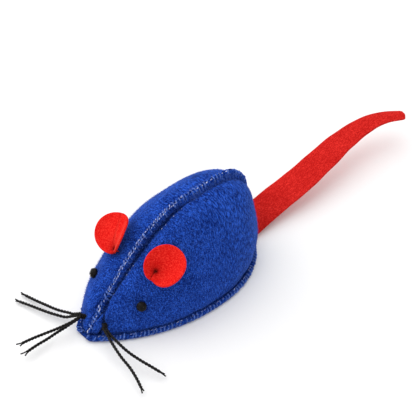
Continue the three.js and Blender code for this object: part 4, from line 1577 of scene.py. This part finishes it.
row_half = tail_root / 2 - tack_margin
tack_line = np.stack([np.linspace(tail_side - row_half, tail_side + row_half, tack_points),
                      np.full(tack_points, rump_end + tack_behind),
                      np.full(tack_points, lip_top + tail_lift + tack_above)], -1)
tack_rail = rail_of("tail_tack_stitches", [
    (tack_line, same_way((1, 0, 0), tack_points), same_way((0, 0, 1), tack_points))])
tail_tack = grow(tack_rail, edge_loop_tree(red_thread), {
    "Stitch Spacing": 2.2 * MM, "Half Width": 0.75 * MM, "Reach": 0.5 * MM, "Rise": 0.35 * MM,
    "Slant": 0.3 * MM})
belongs(tail_tack, "body", "tail_tack")

# %% [markdown]
# ## Stuffing and catnip
# Inside is loose polyester fibre with a pocket of dried, crumbled leaf at the bottom. Neither shows while
# the seams hold, yet both are made, so that the toy can be opened. The stuffing fills the skin with a
# little air between them, and the pocket and the thread tunnels are cut from it.

# %% Fibre and leaf materials


def loose_matter(name, dark, light, grain):
    """Loose fibre or crumbled leaf: matt, with light and dark bits of about the given size."""
    material, tree, shader = new_material(name)
    place = add_node(tree, "ShaderNodeTexCoord").outputs["Object"]
    bits = speckle(tree, place, grain, detail=5, roughness=0.7)
    set_inputs(tree, shader, {
        "Base Color": two_tones(tree, bits, 0.32, 0.68, dark, light),
        "Normal": raised(tree, bits, 0.6, grain), "Roughness": 0.9})
    return material


fibre_fill = loose_matter("polyester_fibre_fill", "#d6d3cb", "#f4f2ec", 2.0 * MM)
dried_leaf = loose_matter("dried_catnip_leaf", "#4c5326", "#98a05c", 1.2 * MM)
print("filling:", fibre_fill.name, dried_leaf.name)

# %% Catnip
catnip_diameter = 24.0
catnip_height = 17.0
heap_rings = 13
heap_columns = 48
heap_margin = -0.5
heap_roughness = 0.4
flake_sizes = {"Flakes": 1.6, "Flake Size": 1.5 * MM, "Seed": 11}
flake_shape = (0.5, 0.32, 0.1)


def leaf_heap(margin):
    """A dome of crumbled leaf, or the pocket round it."""
    rise = np.linspace(0, np.pi / 2, heap_rings + 1)[:-1, None]
    turn = np.linspace(0, 2 * np.pi, heap_columns, endpoint=False)
    radius = catnip_diameter / 2 + margin
    height = catnip_height + margin
    level = lip_under - margin + (height + margin) * np.sin(rise) + 0 * turn
    dome = np.stack([radius * np.cos(rise) * np.cos(turn), radius * np.cos(rise) * np.sin(turn), level], -1)
    points = np.concatenate([dome.reshape(-1, 3), [[0, 0, lip_under + height]]])
    last = (heap_rings - 1) * heap_columns
    faces = tube_faces(heap_rings, heap_columns)
    faces += [[last + k, last + (k + 1) % heap_columns, last + heap_columns] for k in range(heap_columns)]
    faces.append(list(range(heap_columns))[::-1])
    return points, faces


def leaf_flake_tree(material):
    """A tree that scatters flat flakes over the heap and keeps the heap."""
    tree, given, result = new_tree("leaf_flakes", flake_sizes)
    spots = scattered(tree, given, "Flakes")
    flake = add_node(tree, "GeometryNodeMeshIcoSphere", {"Radius": given["Flake Size"], "Subdivisions": 1})
    thin = add_node(tree, "GeometryNodeTransform", {"Geometry": flake.outputs["Mesh"], "Scale": flake_shape})
    laid = add_node(tree, "GeometryNodeInstanceOnPoints", {
        "Points": spots["Points"], "Instance": thin.outputs["Geometry"],
        "Rotation": turned_to(tree, spots["Normal"], random_way(tree, given["Seed"]), "X")})
    both = add_node(tree, "GeometryNodeJoinGeometry", {"Geometry": given["Geometry"]})
    set_inputs(tree, both, {"Geometry": laid.outputs["Instances"]})
    end_tree(tree, result, both.outputs["Geometry"], material)
    return tree


heap_points, heap_faces = leaf_heap(heap_margin)
heap_points[:, 2] = np.maximum(heap_points[:, 2], lip_under)
heap_points += heap_roughness * bumps(heap_points, 3, 50)[:, None] * [1, 1, 0]
heap = (heap_points, heap_faces, np.zeros_like(heap_points))
catnip = make_piece("catnip_leaf_heap", heap, dried_leaf)
grow(catnip, leaf_flake_tree(dried_leaf), {"Seed": 11})
belongs(catnip, "body", "catnip_filling")

# %% Stuffing
air = 0.9
fill_sink = 0.7  # the fibre is drawn in by this much more away from the seams
fill_roughness = 0.5
stuffing_layer = (wall_inset + air, seam_gap / 2, lip_under)
stuffing_shares = np.linspace(0.004, 0.996, 130)
stuffing_ups = np.linspace(0, 1, 26)

fill_sides = []
for side in (1, -1):
    points = flank(stuffing_shares, stuffing_ups, stuffing_layer, side)
    inside = np.sin(np.pi * stuffing_ups)[None]
    sunk = inside * (fill_sink + fill_roughness * bumps(points, 4, 60))
    fill_sides.append(points - outward(points, side) * sunk[..., None])
fill = felt_sheet(*fill_sides, np.zeros_like(fill_sides[0]), steps=0)
stuffing = make_piece("stuffing_fibre", fill, fibre_fill)

# %% Hollows in the stuffing
tunnel = 1.8
pocket_margin = 0.6

t = np.linspace(-0.1, 1.1, 9)[:, None]
tunnel_paths = [pair["left"][0] * (1 - t) + pair["right"][0] * t for pair in (eyes, knots)]
deep = np.linspace(-1, tack_depth + 0.5, 5)[:, None]
tunnel_paths += [spot - out * deep for spot, out in ears.values()]
hollows = [leaf_heap(pocket_margin)]
hollows += [thread_along(path, tunnel, 9, 12, plied=False)[:2] for path in tunnel_paths]
hollow = joined([(p, f, np.zeros_like(p)) for p, f in hollows])
cutter = make_piece("stuffing_hollows", hollow, fibre_fill)
cut = stuffing.modifiers.new("hollows", "BOOLEAN")
cut.operation = "DIFFERENCE"
cut.solver = "EXACT"
cut.use_self = True
cut.object = cutter
keep_result(stuffing)
bpy.data.objects.remove(cutter)
belongs(stuffing, "body", "stuffing")
